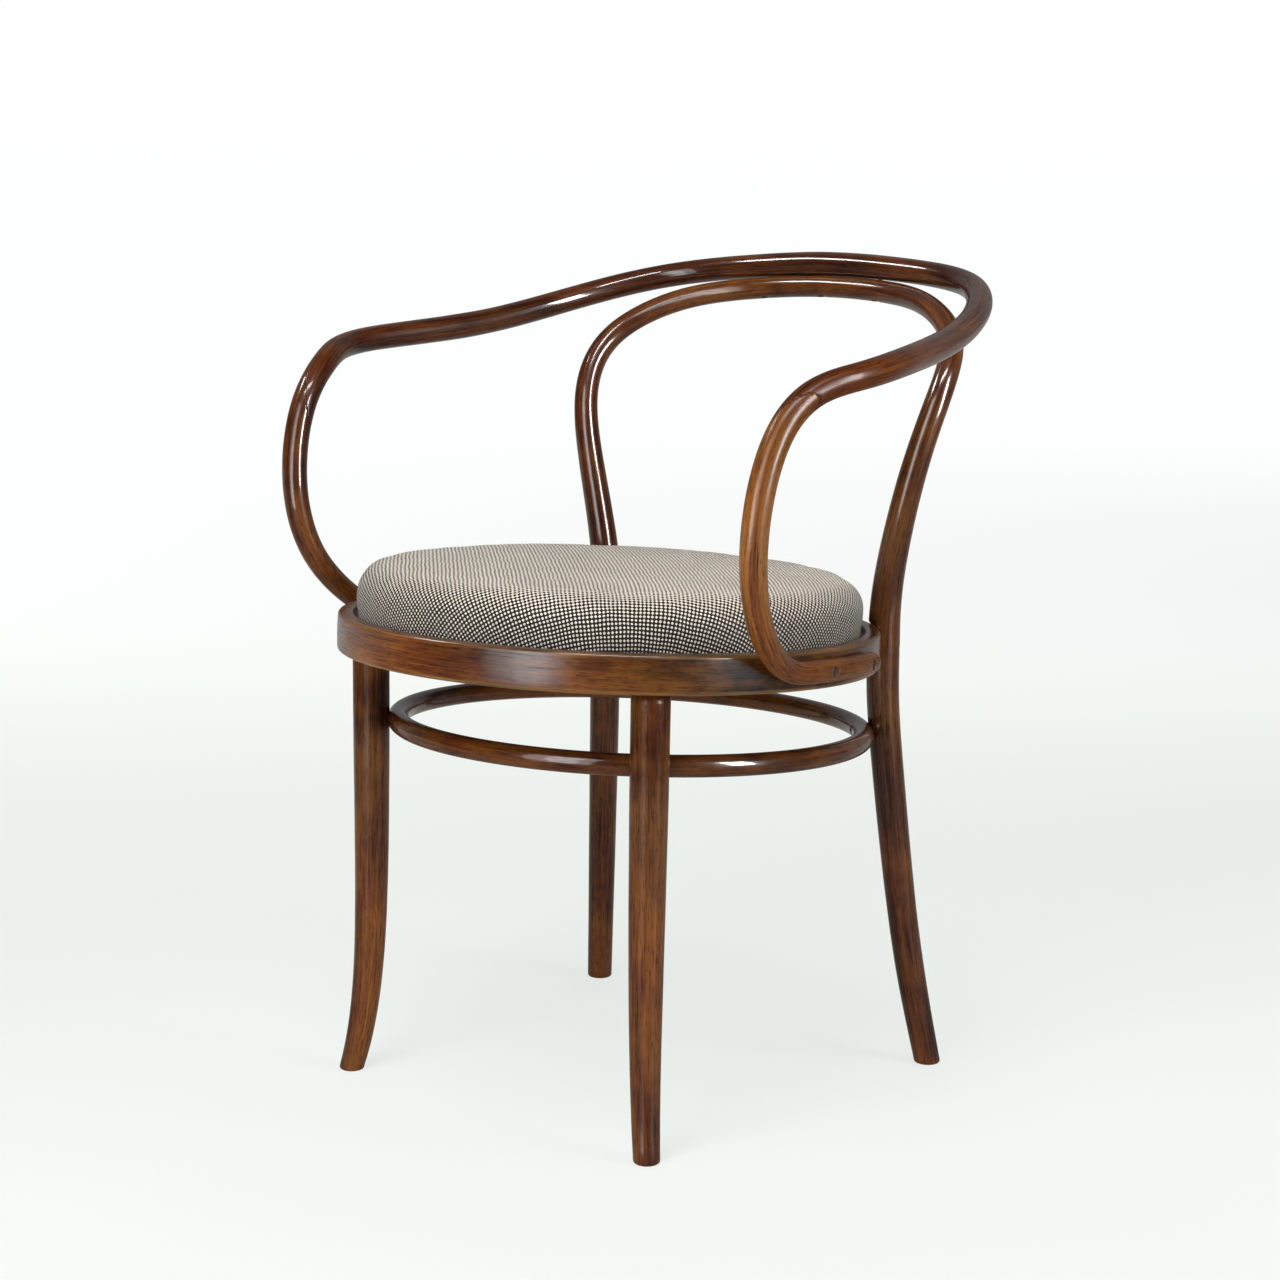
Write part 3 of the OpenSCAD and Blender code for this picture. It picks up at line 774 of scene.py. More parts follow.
@dataclass
class BentPath:
    """A smooth line steered by handles, as a cubic B-spline that starts and ends on the outer ones."""

    handles: list[Vector]
    heading_step: float = 0.02
    halvings: int = 30

    @property
    def last(self) -> int:
        """Place of the line's end."""
        return len(self.handles) - 1

    def at(self, place: float) -> Vector:
        """Gives a point of the line.

        Args:
            place: place along the line, counted in handles.

        Returns:
            The point.
        """
        shown = self.handles
        held = [2 * shown[0] - shown[1], *shown, 2 * shown[-1] - shown[-2]]
        first = min(max(int(place), 0), self.last - 1)
        t = place - first
        a, b, c, d = held[first : first + 4]
        return (
            (1 - t) ** 3 * a
            + (3 * t**3 - 6 * t**2 + 4) * b
            + (-3 * t**3 + 3 * t**2 + 3 * t + 1) * c
            + t**3 * d
        ) / 6

    def heading(self, place: float) -> Vector:
        """Gives the direction of the line.

        Args:
            place: place along the line, counted in handles.

        Returns:
            A unit vector.
        """
        before, after = max(place - self.heading_step, 0), min(place + self.heading_step, self.last)
        return (self.at(after) - self.at(before)).normalized()

    def place_at_height(self, height: float, low: float, high: float) -> float:
        """Finds where a rising stretch of the line reaches a height.

        Args:
            height: the height.
            low: place below it.
            high: place above it.

        Returns:
            The place along the line.
        """
        for _ in range(self.halvings):
            middle = (low + high) / 2
            if self.at(middle).z > height:
                high = middle
            else:
                low = middle
        return (low + high) / 2


@dataclass
class Station:
    """One ring of a bent rod."""

    middle: Vector
    heading: Vector
    radius: float
    along: float = 0.0


def mesh_object(name: str, shape: bmesh.types.BMesh) -> bpy.types.Object:
    """Makes a smooth-shaded object of a finished shape.

    Args:
        name: the piece's name.
        shape: the shape, which is used up.

    Returns:
        The object, at the origin.
    """
    bmesh.ops.recalc_face_normals(shape, faces=shape.faces)
    for face in shape.faces:
        face.smooth = True
    mesh = bpy.data.meshes.new(name)
    shape.to_mesh(mesh)
    shape.free()
    made = bpy.data.objects.new(name, mesh)
    bpy.context.scene.collection.objects.link(made)
    return made


def settle(piece: bpy.types.Object) -> None:
    """Applies a piece's modifiers to its mesh.

    Args:
        piece: the piece.
    """
    graph = bpy.context.evaluated_depsgraph_get()
    mesh = bpy.data.meshes.new_from_object(piece.evaluated_get(graph))
    piece.modifiers.clear()
    piece.data = mesh


def cut_out(piece: bpy.types.Object, cutters: bmesh.types.BMesh) -> None:
    """Takes closed shapes away from a piece.

    Args:
        piece: the piece.
        cutters: the closed shapes, which are used up.
    """
    tool = mesh_object(piece.name + "_cutter", cutters)
    carve = piece.modifiers.new("carve", "BOOLEAN")
    carve.object = tool
    carve.operation = "DIFFERENCE"
    carve.solver = "EXACT"
    settle(piece)
    bpy.data.objects.remove(tool)


def edges_of(verts: Iterable[bmesh.types.BMVert]) -> list[bmesh.types.BMEdge]:
    """Lists the edges that meet some vertices, each once and always in the same order."""
    return list(dict.fromkeys(edge for vert in verts for edge in vert.link_edges))


def grow_rim(
    shape: bmesh.types.BMesh, rim: list[bmesh.types.BMEdge]
) -> tuple[list[bmesh.types.BMVert], list[bmesh.types.BMEdge]]:
    """Extrudes a closed loop of edges, in place.

    Args:
        shape: the shape.
        rim: the loop's edges.

    Returns:
        The vertices and the edges of the new loop.
    """
    grown = bmesh.ops.extrude_edge_only(shape, edges=rim)["geom"]
    verts = [item for item in grown if isinstance(item, bmesh.types.BMVert)]
    fresh = set(verts)
    edges = [item for item in grown if isinstance(item, bmesh.types.BMEdge) and fresh.issuperset(item.verts)]
    return verts, edges


@dataclass(frozen=True)
class Sink:
    """A round sink for a screw's or bolt's head, from a piece's face down to the head."""

    radius: float = 4.4 * MM
    depth: float = 1.6 * MM
    rise: float = 8 * MM
    sides: int = 40

    def cut(self, cutters: bmesh.types.BMesh, face: Vector, outward: Vector) -> None:
        """Adds the sink's cutter.

        Args:
            cutters: shape that collects the cutters.
            face: middle of the sink on the piece's face.
            outward: unit vector out of the piece.
        """
        turn = UP.rotation_difference(outward).to_matrix().to_4x4()
        middle = face + outward * (self.rise / 2 - self.depth)
        bmesh.ops.create_cone(
            cutters,
            cap_ends=True,
            segments=self.sides,
            radius1=self.radius,
            radius2=self.radius,
            depth=self.rise,
            matrix=Matrix.Translation(middle) @ turn,
        )


@dataclass
class BentRod:
    """A round rod of changing thickness, swept ring by ring along a bent path."""

    path: BentPath
    start: float
    end: float
    radius_at: Callable[[float, Vector], float]
    sides: int = 48
    rings: int = 11
    level_start: bool = False
    level_end: bool = False
    rounding: float = 0.0
    round_steps: int = 6
    waver: float = 0.10 * MM
    swells: Pair = (24.0, 61.0)
    first_side: Point = (0.48, 0.64, 0.6)

    def stations(self) -> list[Station]:
        """Lists the rod's rings from end to end.

        Returns:
            The rings, with those of rounded ends.
        """
        spans = self.end - self.start
        count = max(2, round(spans * self.rings))
        found: list[Station] = []
        along = 0.0
        for k in range(count + 1):
            place = mix(self.start, self.end, k / count)
            middle, heading = self.path.at(place), self.path.heading(place)
            if self.level_start and place - self.start < 1:
                heading = UP.lerp(heading, place - self.start).normalized()
            if self.level_end and self.end - place < 1:
                heading = (-UP).lerp(heading, self.end - place).normalized()
            if found:
                along += (middle - found[-1].middle).length
            radius = self.radius_at(place, middle)
            found.append(Station(middle, heading, radius, along))
        self._hand_scrape(found)
        if not self.rounding:
            return found
        foot = self.rounded(found[0], -1.0)[::-1] if self.level_start else []
        return foot + found + self.rounded(found[-1], 1.0)

    def _hand_scrape(self, found: list[Station]) -> None:
        """Lets the thickness waver a little, as on a rod that was sanded by hand.

        Args:
            found: the rings, which are changed.
        """
        broad, fine = self.swells
        for station in found:
            swell = noise.noise(station.middle * broad) + 0.5 * noise.noise(station.middle * fine)
            station.radius += self.waver * swell

    def rounded(self, end: Station, sign: float) -> list[Station]:
        """Makes the rings of a rounded foot or tip.

        Args:
            end: the rod's last ring.
            sign: 1 beyond the end, -1 before the start.

        Returns:
            The added rings, outward.
        """
        rings = []
        for k in range(1, self.round_steps + 1):
            turn = math.radians(90 * k / self.round_steps)
            out = sign * self.rounding * math.sin(turn)
            radius = end.radius - self.rounding * (1 - math.cos(turn))
            rings.append(Station(end.middle + end.heading * out, end.heading, radius, end.along + out))
        return rings

    def sweep(self) -> bmesh.types.BMesh:
        """Extrudes a circle from ring to ring.

        Returns:
            The closed rod, with the grain's lie on its vertices.
        """
        shape = bmesh.new()
        grain = shape.verts.layers.float_vector.new("grain")
        stations = self.stations()
        side = Vector(self.first_side)
        old = Matrix.Identity(4)
        verts = bmesh.ops.create_circle(shape, cap_ends=False, radius=1.0, segments=self.sides)["verts"]
        edges = edges_of(verts)
        for number, station in enumerate(stations):
            if number:
                verts, edges = grow_rim(shape, edges)
            side = (side - side.dot(station.heading) * station.heading).normalized()
            other = station.heading.cross(side)
            spin = Matrix((side, other, station.heading)).transposed()
            new = Matrix.Translation(station.middle) @ spin.to_4x4()
            new = new @ Matrix.Diagonal((station.radius, station.radius, 1.0, 1.0))
            bmesh.ops.transform(shape, matrix=new @ old.inverted(), verts=verts)
            old = new
            for vert in verts:
                out = vert.co - station.middle
                vert[grain] = (out.dot(side), out.dot(other), station.along)
        shape.edges.ensure_lookup_table()
        rims = [edge for edge in shape.edges if edge.is_boundary]
        bmesh.ops.holes_fill(shape, edges=rims, sides=self.sides + 1)
        return shape


def turned(
    name: str, outline: Sequence[Point], radius: float, seat: Matrix, closed: bool = True, steps: int = 256
) -> bpy.types.Object:
    """Spins an outline into a ring or a pad and gives it a grain that runs round it.

    Args:
        name: the piece's name.
        outline: points in the plane Y = 0.
        radius: radius along which the grain is measured.
        seat: where the turned piece goes.
        closed: whether the outline closes on itself.
        steps: how many steps the full turn has.

    Returns:
        The piece.
    """
    shape = bmesh.new()
    verts = [bmesh.ops.create_vert(shape, co=point)["vert"][0] for point in outline]
    pairs = list(zip(verts, verts[1:])) + ([(verts[-1], verts[0])] if closed else [])
    edges = [shape.edges.new(pair) for pair in pairs]
    bmesh.ops.spin(
        shape,
        geom=verts + edges,
        cent=(0, 0, 0),
        axis=(0, 0, 1),
        angle=math.tau,
        steps=steps,
        use_merge=True,
    )
    bmesh.ops.remove_doubles(shape, verts=shape.verts, dist=0.01 * MM)
    grain = shape.loops.layers.float_vector.new("grain")
    for face in shape.faces:
        centre = face.calc_center_median()
        facing = math.atan2(centre.y, centre.x)
        for loop in face.loops:
            spot = loop.vert.co
            angle = math.atan2(spot.y, spot.x)
            angle -= math.tau * round((angle - facing) / math.tau)
            loop[grain] = (math.hypot(spot.x, spot.y) - radius, spot.z, angle * radius)
    bmesh.ops.transform(shape, matrix=seat, verts=shape.verts)
    return mesh_object(name, shape)


def dress(piece: bpy.types.Object, material: bpy.types.Material, slot: Optional[str] = None) -> None:
    """Gives a piece its only material, and a new piece its body.

    Args:
        piece: the piece or carried-over node.
        material: its material.
        slot: the record's slot, for a new piece; only whether it is given is read.
    """
    piece.data.materials.clear()
    piece.data.materials.append(material)
    for face in piece.data.polygons:
        face.material_index = 0
    if slot is not None:
        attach(piece, "root")


# The chair


@dataclass
class SeatPlane:
    """The sloping plane of the seat ring's top face, and the driving sizes that go with it."""

    height: float = 408 * MM
    tilt: float = 2.0
    ring_radius: float = 233 * MM
    ring_width: float = 46 * MM
    ring_height: float = 32 * MM
    rim_width: float = 13 * MM
    rebate: float = 12 * MM
    edge: float = 3 * MM
    rail_back: float = 305 * MM
    rail_d: float = 22.4 * MM
    rod_gap: float = 0.05 * MM
    rod_spare: float = 2 * MM

    @property
    def forward(self) -> float:
        """How far the middle of the seat stands from the middle of the box, along Y."""
        turn = math.radians(self.tilt)
        front = self.ring_radius * math.cos(turn) + (self.ring_height - self.edge) * math.sin(turn)
        return (front - self.rail_back - self.rail_d / 2) / 2

    @property
    def inner_radius(self) -> float:
        """Radius of the ring's bore."""
        return self.ring_radius - self.ring_width

    @property
    def rebate_radius(self) -> float:
        """Radius of the rebate's wall."""
        return self.ring_radius - self.rim_width

    def matrix(self) -> Matrix:
        """Places what is modelled round the middle of the ring's top face."""
        shift = Matrix.Translation((0, self.forward, self.height))
        return shift @ self.slope()

    def slope(self) -> Matrix:
        """Tilts what lies level into the seat's slope."""
        return Matrix.Rotation(math.radians(-self.tilt), 4, "X")

    def put(self, point: Vector) -> Vector:
        """Places a point that counts from the middle of the ring's top face."""
        return self.matrix() @ point

    def facing(self, direction: Vector) -> Vector:
        """Turns a direction of the seat plane into the chair's frame."""
        return self.matrix().to_3x3() @ direction

    def sink(self, cutters: bmesh.types.BMesh, sink: Sink, reach: float, angle: float, z: float) -> None:
        """Adds a sink that looks away from the middle of the seat.

        Args:
            cutters: shape that collects the cutters.
            sink: the sink.
            reach: distance of the piece's face from the middle of the seat.
            angle: angle round the seat.
            z: height over the ring's top face.
        """
        sink.cut(cutters, self.put(polar(reach, angle) + UP * z), self.facing(polar(1.0, angle)))

    def off_ring(self, shape: bmesh.types.BMesh) -> None:
        """Presses what a rod sinks into the ring's face out onto that face.

        Args:
            shape: the rod's shape, which is changed.
        """
        place = self.matrix()
        back = place.inverted()
        face = self.ring_radius + self.rod_gap
        for vert in shape.verts:
            local = back @ vert.co
            reach = math.hypot(local.x, local.y)
            if reach < face and -self.ring_height - self.rod_spare < local.z < self.rod_spare:
                vert.co = place @ Vector((local.x * face / reach, local.y * face / reach, local.z))


@dataclass
class BackBow:
    """The bow that is both rear legs and the inner loop of the back."""

    seat: SeatPlane
    seat_d: float = 28.8 * MM
    foot_d: float = 23.6 * MM
    top_d: float = 20.2 * MM
    span: float = 420 * MM
    angle: float = 48.6
    splay: float = 53 * MM
    notch: float = 4 * MM
    tuck: float = 12.0
    foot_edge: float = 2.5 * MM
    chair_height: float = 723 * MM
    crest_half: float = 82 * MM
    crest_drop: float = 1.6 * MM
    crest_curl: float = 0.6 * MM
    rail_gap: float = 0.05 * MM
    screw_places: tuple[float, ...] = (-0.8, 0.0, 0.8)
    screw_sink: Sink = Sink()
    bolt_sink: Sink = Sink(radius=6.1 * MM, depth=3.6 * MM, rise=12 * MM)
    leg_taper: float = 1.6
    back_taper: float = 1.5
    knee_share: float = 1.55
    leg_shares: tuple[Pair, ...] = ((1, 0), (0.615, 0.23), (0.35, 0.47), (0.13, 0.71))
    back_shares: tuple[Point, ...] = (
        (0.912, -0.02, 0.455),
        (0.992, 0.035, 0.645),
        (1.01, 0.23, 0.79),
        (0.925, 0.49, 0.885),
        (0.695, 0.73, 0.962),
    )

    @property
    def reach(self) -> float:
        """Distance of the rear legs' middles from the middle of the seat."""
        return self.seat.ring_radius + self.seat_d / 2 - self.notch

    @property
    def seat_point(self) -> Vector:
        """Middle of the left rear leg where the ring is fastened."""
        return self.seat.put(polar(self.reach, self.angle) - UP * (self.seat.ring_height / 2))

    def crest(self, middle: Vector) -> list[Vector]:
        """Gives the two handles that shape a gentle crest.

        Args:
            middle: middle of the crest.

        Returns:
            The handles from the middle outward.
        """
        near = middle + Vector((0, self.crest_curl, self.crest_drop))
        far = middle + Vector((self.crest_half, -2 * self.crest_curl, -2 * self.crest_drop))
        return [near, far]

    @property
    def rail_middle(self) -> Vector:
        """Middle of the rail behind the back."""
        seat = self.seat
        return Vector((0, seat.forward + seat.rail_back, self.chair_height - seat.rail_d / 2))

    @property
    def toward_rail(self) -> Vector:
        """Direction from the bow's crest to the rail."""
        lean = math.radians(self.tuck)
        return Vector((0, math.sin(lean), math.cos(lean)))

    @property
    def top_middle(self) -> Vector:
        """Middle of the bow's crest, below the rail."""
        distance = (self.seat.rail_d + self.top_d) / 2 + self.rail_gap
        return self.rail_middle - distance * self.toward_rail

    def path(self) -> BentPath:
        """Builds the bow's line from the left foot to the right one.

        Returns:
            The line.
        """
        contact, top = self.seat_point, self.top_middle
        half = (self.span - self.top_d) / 2
        left: list[Vector] = []
        for out, up in self.leg_shares:
            foot = polar(self.reach + self.splay * out, self.angle)
            z = mix(self.foot_edge, contact.z, up)
            left.append(Vector((foot.x, foot.y + self.seat.forward, z)))
        left += [contact + UP * (self.knee_share * self.seat.ring_height * k) for k in (-1, 0, 1)]
        for wide, back, up in self.back_shares:
            y, z = mix(contact.y, top.y, back), mix(contact.z, top.z, up)
            left.append(Vector((half * wide, y, z)))
        left += reversed(self.crest(top))
        return BentPath(left + [mirrored(point) for point in left[-2::-1]])

    def radius_at(self, _: float, middle: Vector) -> float:
        """Gives the bow's radius.

        Args:
            _: place along the bow.
            middle: middle of the ring.

        Returns:
            The radius there.
        """
        knee, top = self.seat_point.z, self.top_middle.z
        if middle.z < knee:
            return mix(self.seat_d, self.foot_d, (1 - middle.z / knee) ** self.leg_taper) / 2
        rise = max(0.0, 1 - (middle.z - knee) / (top - knee))
        return mix(self.top_d, self.seat_d, rise**self.back_taper) / 2

    def build(self) -> list[bpy.types.Object]:
        """Builds and dresses the bow.

        Returns:
            The bow.
        """
        path = self.path()
        rod = BentRod(path, 0, path.last, self.radius_at)
        rod.level_start = rod.level_end = True
        rod.rounding = self.foot_edge
        shape = rod.sweep()
        self.seat.off_ring(shape)
        piece = mesh_object("bow", shape)
        cut_out(piece, self._sinks(path))
        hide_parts("back_bow")
        beech = StainedBeech("bow_beech", tone=0.05, amber=0.4, seed=1.7, coat_rough=0.13)
        dress(piece, beech.build(), "bow_wood")
        return [piece]

    def _sinks(self, path: BentPath) -> bmesh.types.BMesh:
        """Shapes the sinks of the crest's screws and of the bolts' heads.

        Args:
            path: the bow's line.

        Returns:
            The closed cutters.
        """
        cutters = bmesh.new()
        down = -self.toward_rail
        for place in self.screw_places:
            face = path.at(path.last / 2 + place) + down * (self.top_d / 2)
            self.screw_sink.cut(cutters, face, down)
        seat = self.seat
        height = -(seat.ring_height + seat.rebate) / 2
        for angle in (self.angle, 180 - self.angle):
            seat.sink(cutters, self.bolt_sink, self.reach + self.seat_d / 2, angle, height)
        return cutters


@dataclass
class RailAndArms:
    """The rail behind the back and the two arms that are scarfed to it."""

    bow: BackBow
    arm_span: float = 598 * MM
    arm_height: float = 641 * MM
    arm_front: float = 143 * MM
    arm_d: float = 23.4 * MM
    drop_d: float = 22 * MM
    tail_d: float = 17.2 * MM
    lap: float = 2.6 * MM
    end_angle: float = 16.0
    lap_start: float = -15.0
    lap_parts: int = 4
    scarf_shares: Pair = (0.5265, 0.606)
    scarf_spare: float = 1.1
    scarf_reach: float = 3.0
    screw_sink: Sink = Sink()
    screw_angles: Pair = (-2.6, 12.0)
    arm_rings: int = 14
    rail_steps: int = 60
    thickness_places: tuple[float, ...] = (2.5, 5.5, 8, 11, 13.5)
    taper_share: float = 0.35
    rail_shares: tuple[Point, ...] = (
        (0.545, 0.96, 0.875),
        (0.708, 0.83, 0.722),
        (0.825, 0.63, 0.483),
        (0.895, 0.39, 0.256),
        (0.955, 0.155, 0.15),
        (1.006, -0.03, 0.08),
        (1.002, -0.153, 0),
    )
    drop_shares: tuple[Point, ...] = (
        (0.558, 0.627, 0.96),
        (0.42, 0.912, 0.811),
        (0.32, 1.04, 0.505),
        (0.175, 0.914, 0.204),
    )

    @property
    def lap_radius(self) -> float:
        """Distance of an arm's end from the middle of the seat."""
        return self.bow.seat.ring_radius + self.tail_d / 2 - self.lap

    @property
    def tip_edge(self) -> float:
        """Rounding of an arm's tip."""
        return self.tail_d / 4

    def _lap_handles(self) -> list[Vector]:
        """Lists the handles of the stretch that lies on the ring.

        Returns:
            The handles, from below the arm's drop to its tip.
        """
        seat = self.bow.seat
        step = (self.end_angle - self.lap_start) / self.lap_parts
        last = self.end_angle - math.degrees(math.asin(self.tip_edge / self.lap_radius))
        out = self.lap_radius * 3 / (2 + math.cos(math.radians(step)))
        spots = [polar(out, self.lap_start + step * k) for k in range(self.lap_parts)]
        spots.append(polar(self.lap_radius, last))
        return [seat.put(spot - UP * (seat.ring_height / 2)) for spot in spots]

    def half_handles(self) -> list[Vector]:
        """Lists the handles from the middle of the rail to the left arm's end.

        Returns:
            The handles.
        """
        seat, rail = self.bow.seat, self.bow.rail_middle
        half = (self.arm_span - self.drop_d) / 2
        arm_z = self.arm_height - self.drop_d / 2
        front = self.arm_front - self.drop_d / 2
        found = self.bow.crest(rail)
        for wide, back, up in self.rail_shares:
            y, z = seat.forward + seat.rail_back * back, mix(arm_z, rail.z, up)
            found.append(Vector((half * wide, y, z)))
        lap = self._lap_handles()
        for wide, fore, up in self.drop_shares:
            x, z = mix(self.lap_radius, half, wide), mix(lap[0].z, arm_z, up)
            found.append(Vector((x, seat.forward - front * fore, z)))
        return found + lap

    def radius_at(self, place: float, _: Vector) -> float:
        """Gives the radius of rail and arm.

        Args:
            place: place in handles from the middle of the rail.
            _: middle of the ring.

        Returns:
            The radius there.
        """
        last = len(self.half_handles()) - 1
        taper = mix(self.tail_d, self.drop_d, self.taper_share)
        sizes = (self.bow.seat.rail_d, self.arm_d, self.drop_d, self.drop_d, taper, self.tail_d)
        return lookup(abs(place), list(zip((*self.thickness_places, last), sizes))) / 2

    @property
    def rail_length(self) -> float:
        """Length of the rail between its ends, along its middle line."""
        path = BentPath(self.half_handles())
        end = self.scarf_shares[1] * path.last
        spots = [path.at(end * k / self.rail_steps) for k in range(self.rail_steps + 1)]
        return 2 * sum((b - a).length for a, b in zip(spots, spots[1:]))

    def joint(self) -> tuple[Vector, Vector]:
        """Gives a point and the normal of the left scarf joint.

        Returns:
            The point and the unit normal, which points to the arm.
        """
        path = BentPath(self.half_handles())
        first, second = (share * path.last for share in self.scarf_shares)
        chord = path.at(second) - path.at(first)
        along = chord.normalized()
        bend = path.heading(first).cross(path.heading(second))
        across = (bend - bend.dot(along) * along).normalized()
        normal = across * chord.length + along * (self.scarf_spare * self.drop_d)
        return (path.at(first) + path.at(second)) / 2, normal.normalized()

    def _halved(self, shape: bmesh.types.BMesh, on_right: bool, beyond: bool) -> None:
        """Cuts a rod along the scarf joint and closes it.

        Args:
            shape: the rod, which is changed.
            on_right: whether the joint is the right one.
            beyond: whether the side that the normal points to is cut away.
        """
        middle, normal = self.joint()
        if on_right:
            middle, normal = mirrored(middle), mirrored(normal)
        reach = self.scarf_reach * self.drop_d
        verts = [vert for vert in shape.verts if (vert.co - middle).length < reach]
        close = set(verts)
        edges = [edge for edge in shape.edges if close.issuperset(edge.verts)]
        faces = [face for face in shape.faces if close.issuperset(face.verts)]
        cut = bmesh.ops.bisect_plane(
            shape,
            geom=verts + edges + faces,
            plane_co=middle,
            plane_no=normal,
            clear_outer=beyond,
            clear_inner=not beyond,
        )["geom_cut"]
        rim = [item for item in cut if isinstance(item, bmesh.types.BMEdge)]
        bmesh.ops.holes_fill(shape, edges=rim, sides=0)

    def _rail(self) -> bpy.types.Object:
        """Builds the rail between the two joints.

        Returns:
            The rail.
        """
        half = self.half_handles()
        whole = [mirrored(point) for point in half[:0:-1]] + half
        middle = len(half) - 1
        start, end = (middle * (1 + side * self.scarf_shares[1]) for side in (-1, 1))
        rod = BentRod(
            BentPath(whole), start, end, lambda place, point: self.radius_at(place - middle, point)
        )
        shape = rod.sweep()
        for on_right in (False, True):
            self._halved(shape, on_right, beyond=True)
        piece = mesh_object("rail", shape)
        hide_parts("top_rail")
        return piece

    def _arm(self, side: str) -> bpy.types.Object:
        """Builds one arm from its joint to its screwed end.

        Args:
            side: left or right.

        Returns:
            The arm.
        """
        seat, path = self.bow.seat, BentPath(self.half_handles())
        rod = BentRod(path, self.scarf_shares[0] * path.last, path.last, self.radius_at)
        rod.rings = self.arm_rings
        rod.rounding = self.tip_edge
        shape = rod.sweep()
        self._halved(shape, on_right=False, beyond=False)
        seat.off_ring(shape)
        cutters = bmesh.new()
        face = self.lap_radius + self.radius_at(path.last - 1, Vector())
        for angle in self.screw_angles:
            seat.sink(cutters, self.screw_sink, face, angle, -seat.ring_height / 2)
        if side == "right":
            for item in (shape, cutters):
                bmesh.ops.scale(item, vec=(-1, 1, 1), verts=item.verts)
        piece = mesh_object("arm_piece_" + side, shape)
        cut_out(piece, cutters)
        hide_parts("arm_" + side)
        return piece

    def _beeches(self) -> list[StainedBeech]:
        """Lists the finishes of the rail, the near left arm and the far right arm.

        Returns:
            The three finishes.
        """
        joint, end = self.joint(), self.rail_length
        rail = StainedBeech(
            "rail_beech",
            tone=-0.03,
            amber=0.2,
            seed=4.1,
            joint=joint,
            tone_and_shade=((0.0, 0.10, 0.06), (end, 0.20, 0.17)),
            worn_lacquer=((end, 0.17, 0.95), (0.0, 0.10, 0.6)),
        )
        near_arm = StainedBeech(
            "near_arm_beech",
            tone=0.19,
            amber=0.6,
            seed=7.3,
            coat_rough=0.25,
            joint=joint,
            tone_and_shade=((0.0, 0.08, -0.06), (0.24, 0.18, 0.13), (0.37, 0.07, -0.26)),
            worn_lacquer=((0.0, 0.08, 0.85), (0.3, 0.12, 0.5)),
        )
        # The far arm is toned darker than the near one: partly its own tone, partly painted shade on its
        # inner side.
        far_arm = StainedBeech(
            "far_arm_beech",
            tone=-0.03,
            amber=0.4,
            seed=8.9,
            joint=joint,
            tone_and_shade=((0.21, 0.07, 0.14),),
            worn_lacquer=((0.0, 0.09, 0.5),),
        )
        return [rail, near_arm, far_arm]

    def build(self) -> list[bpy.types.Object]:
        """Builds and dresses the rail and both arms.

        Returns:
            The rail, the left arm and the right arm.
        """
        pieces = [self._rail(), self._arm("left"), self._arm("right")]
        for piece, beech, slot in zip(pieces, self._beeches(), ("rail_wood", "arm_wood", "arm_wood")):
            dress(piece, beech.build(), slot)
        return pieces


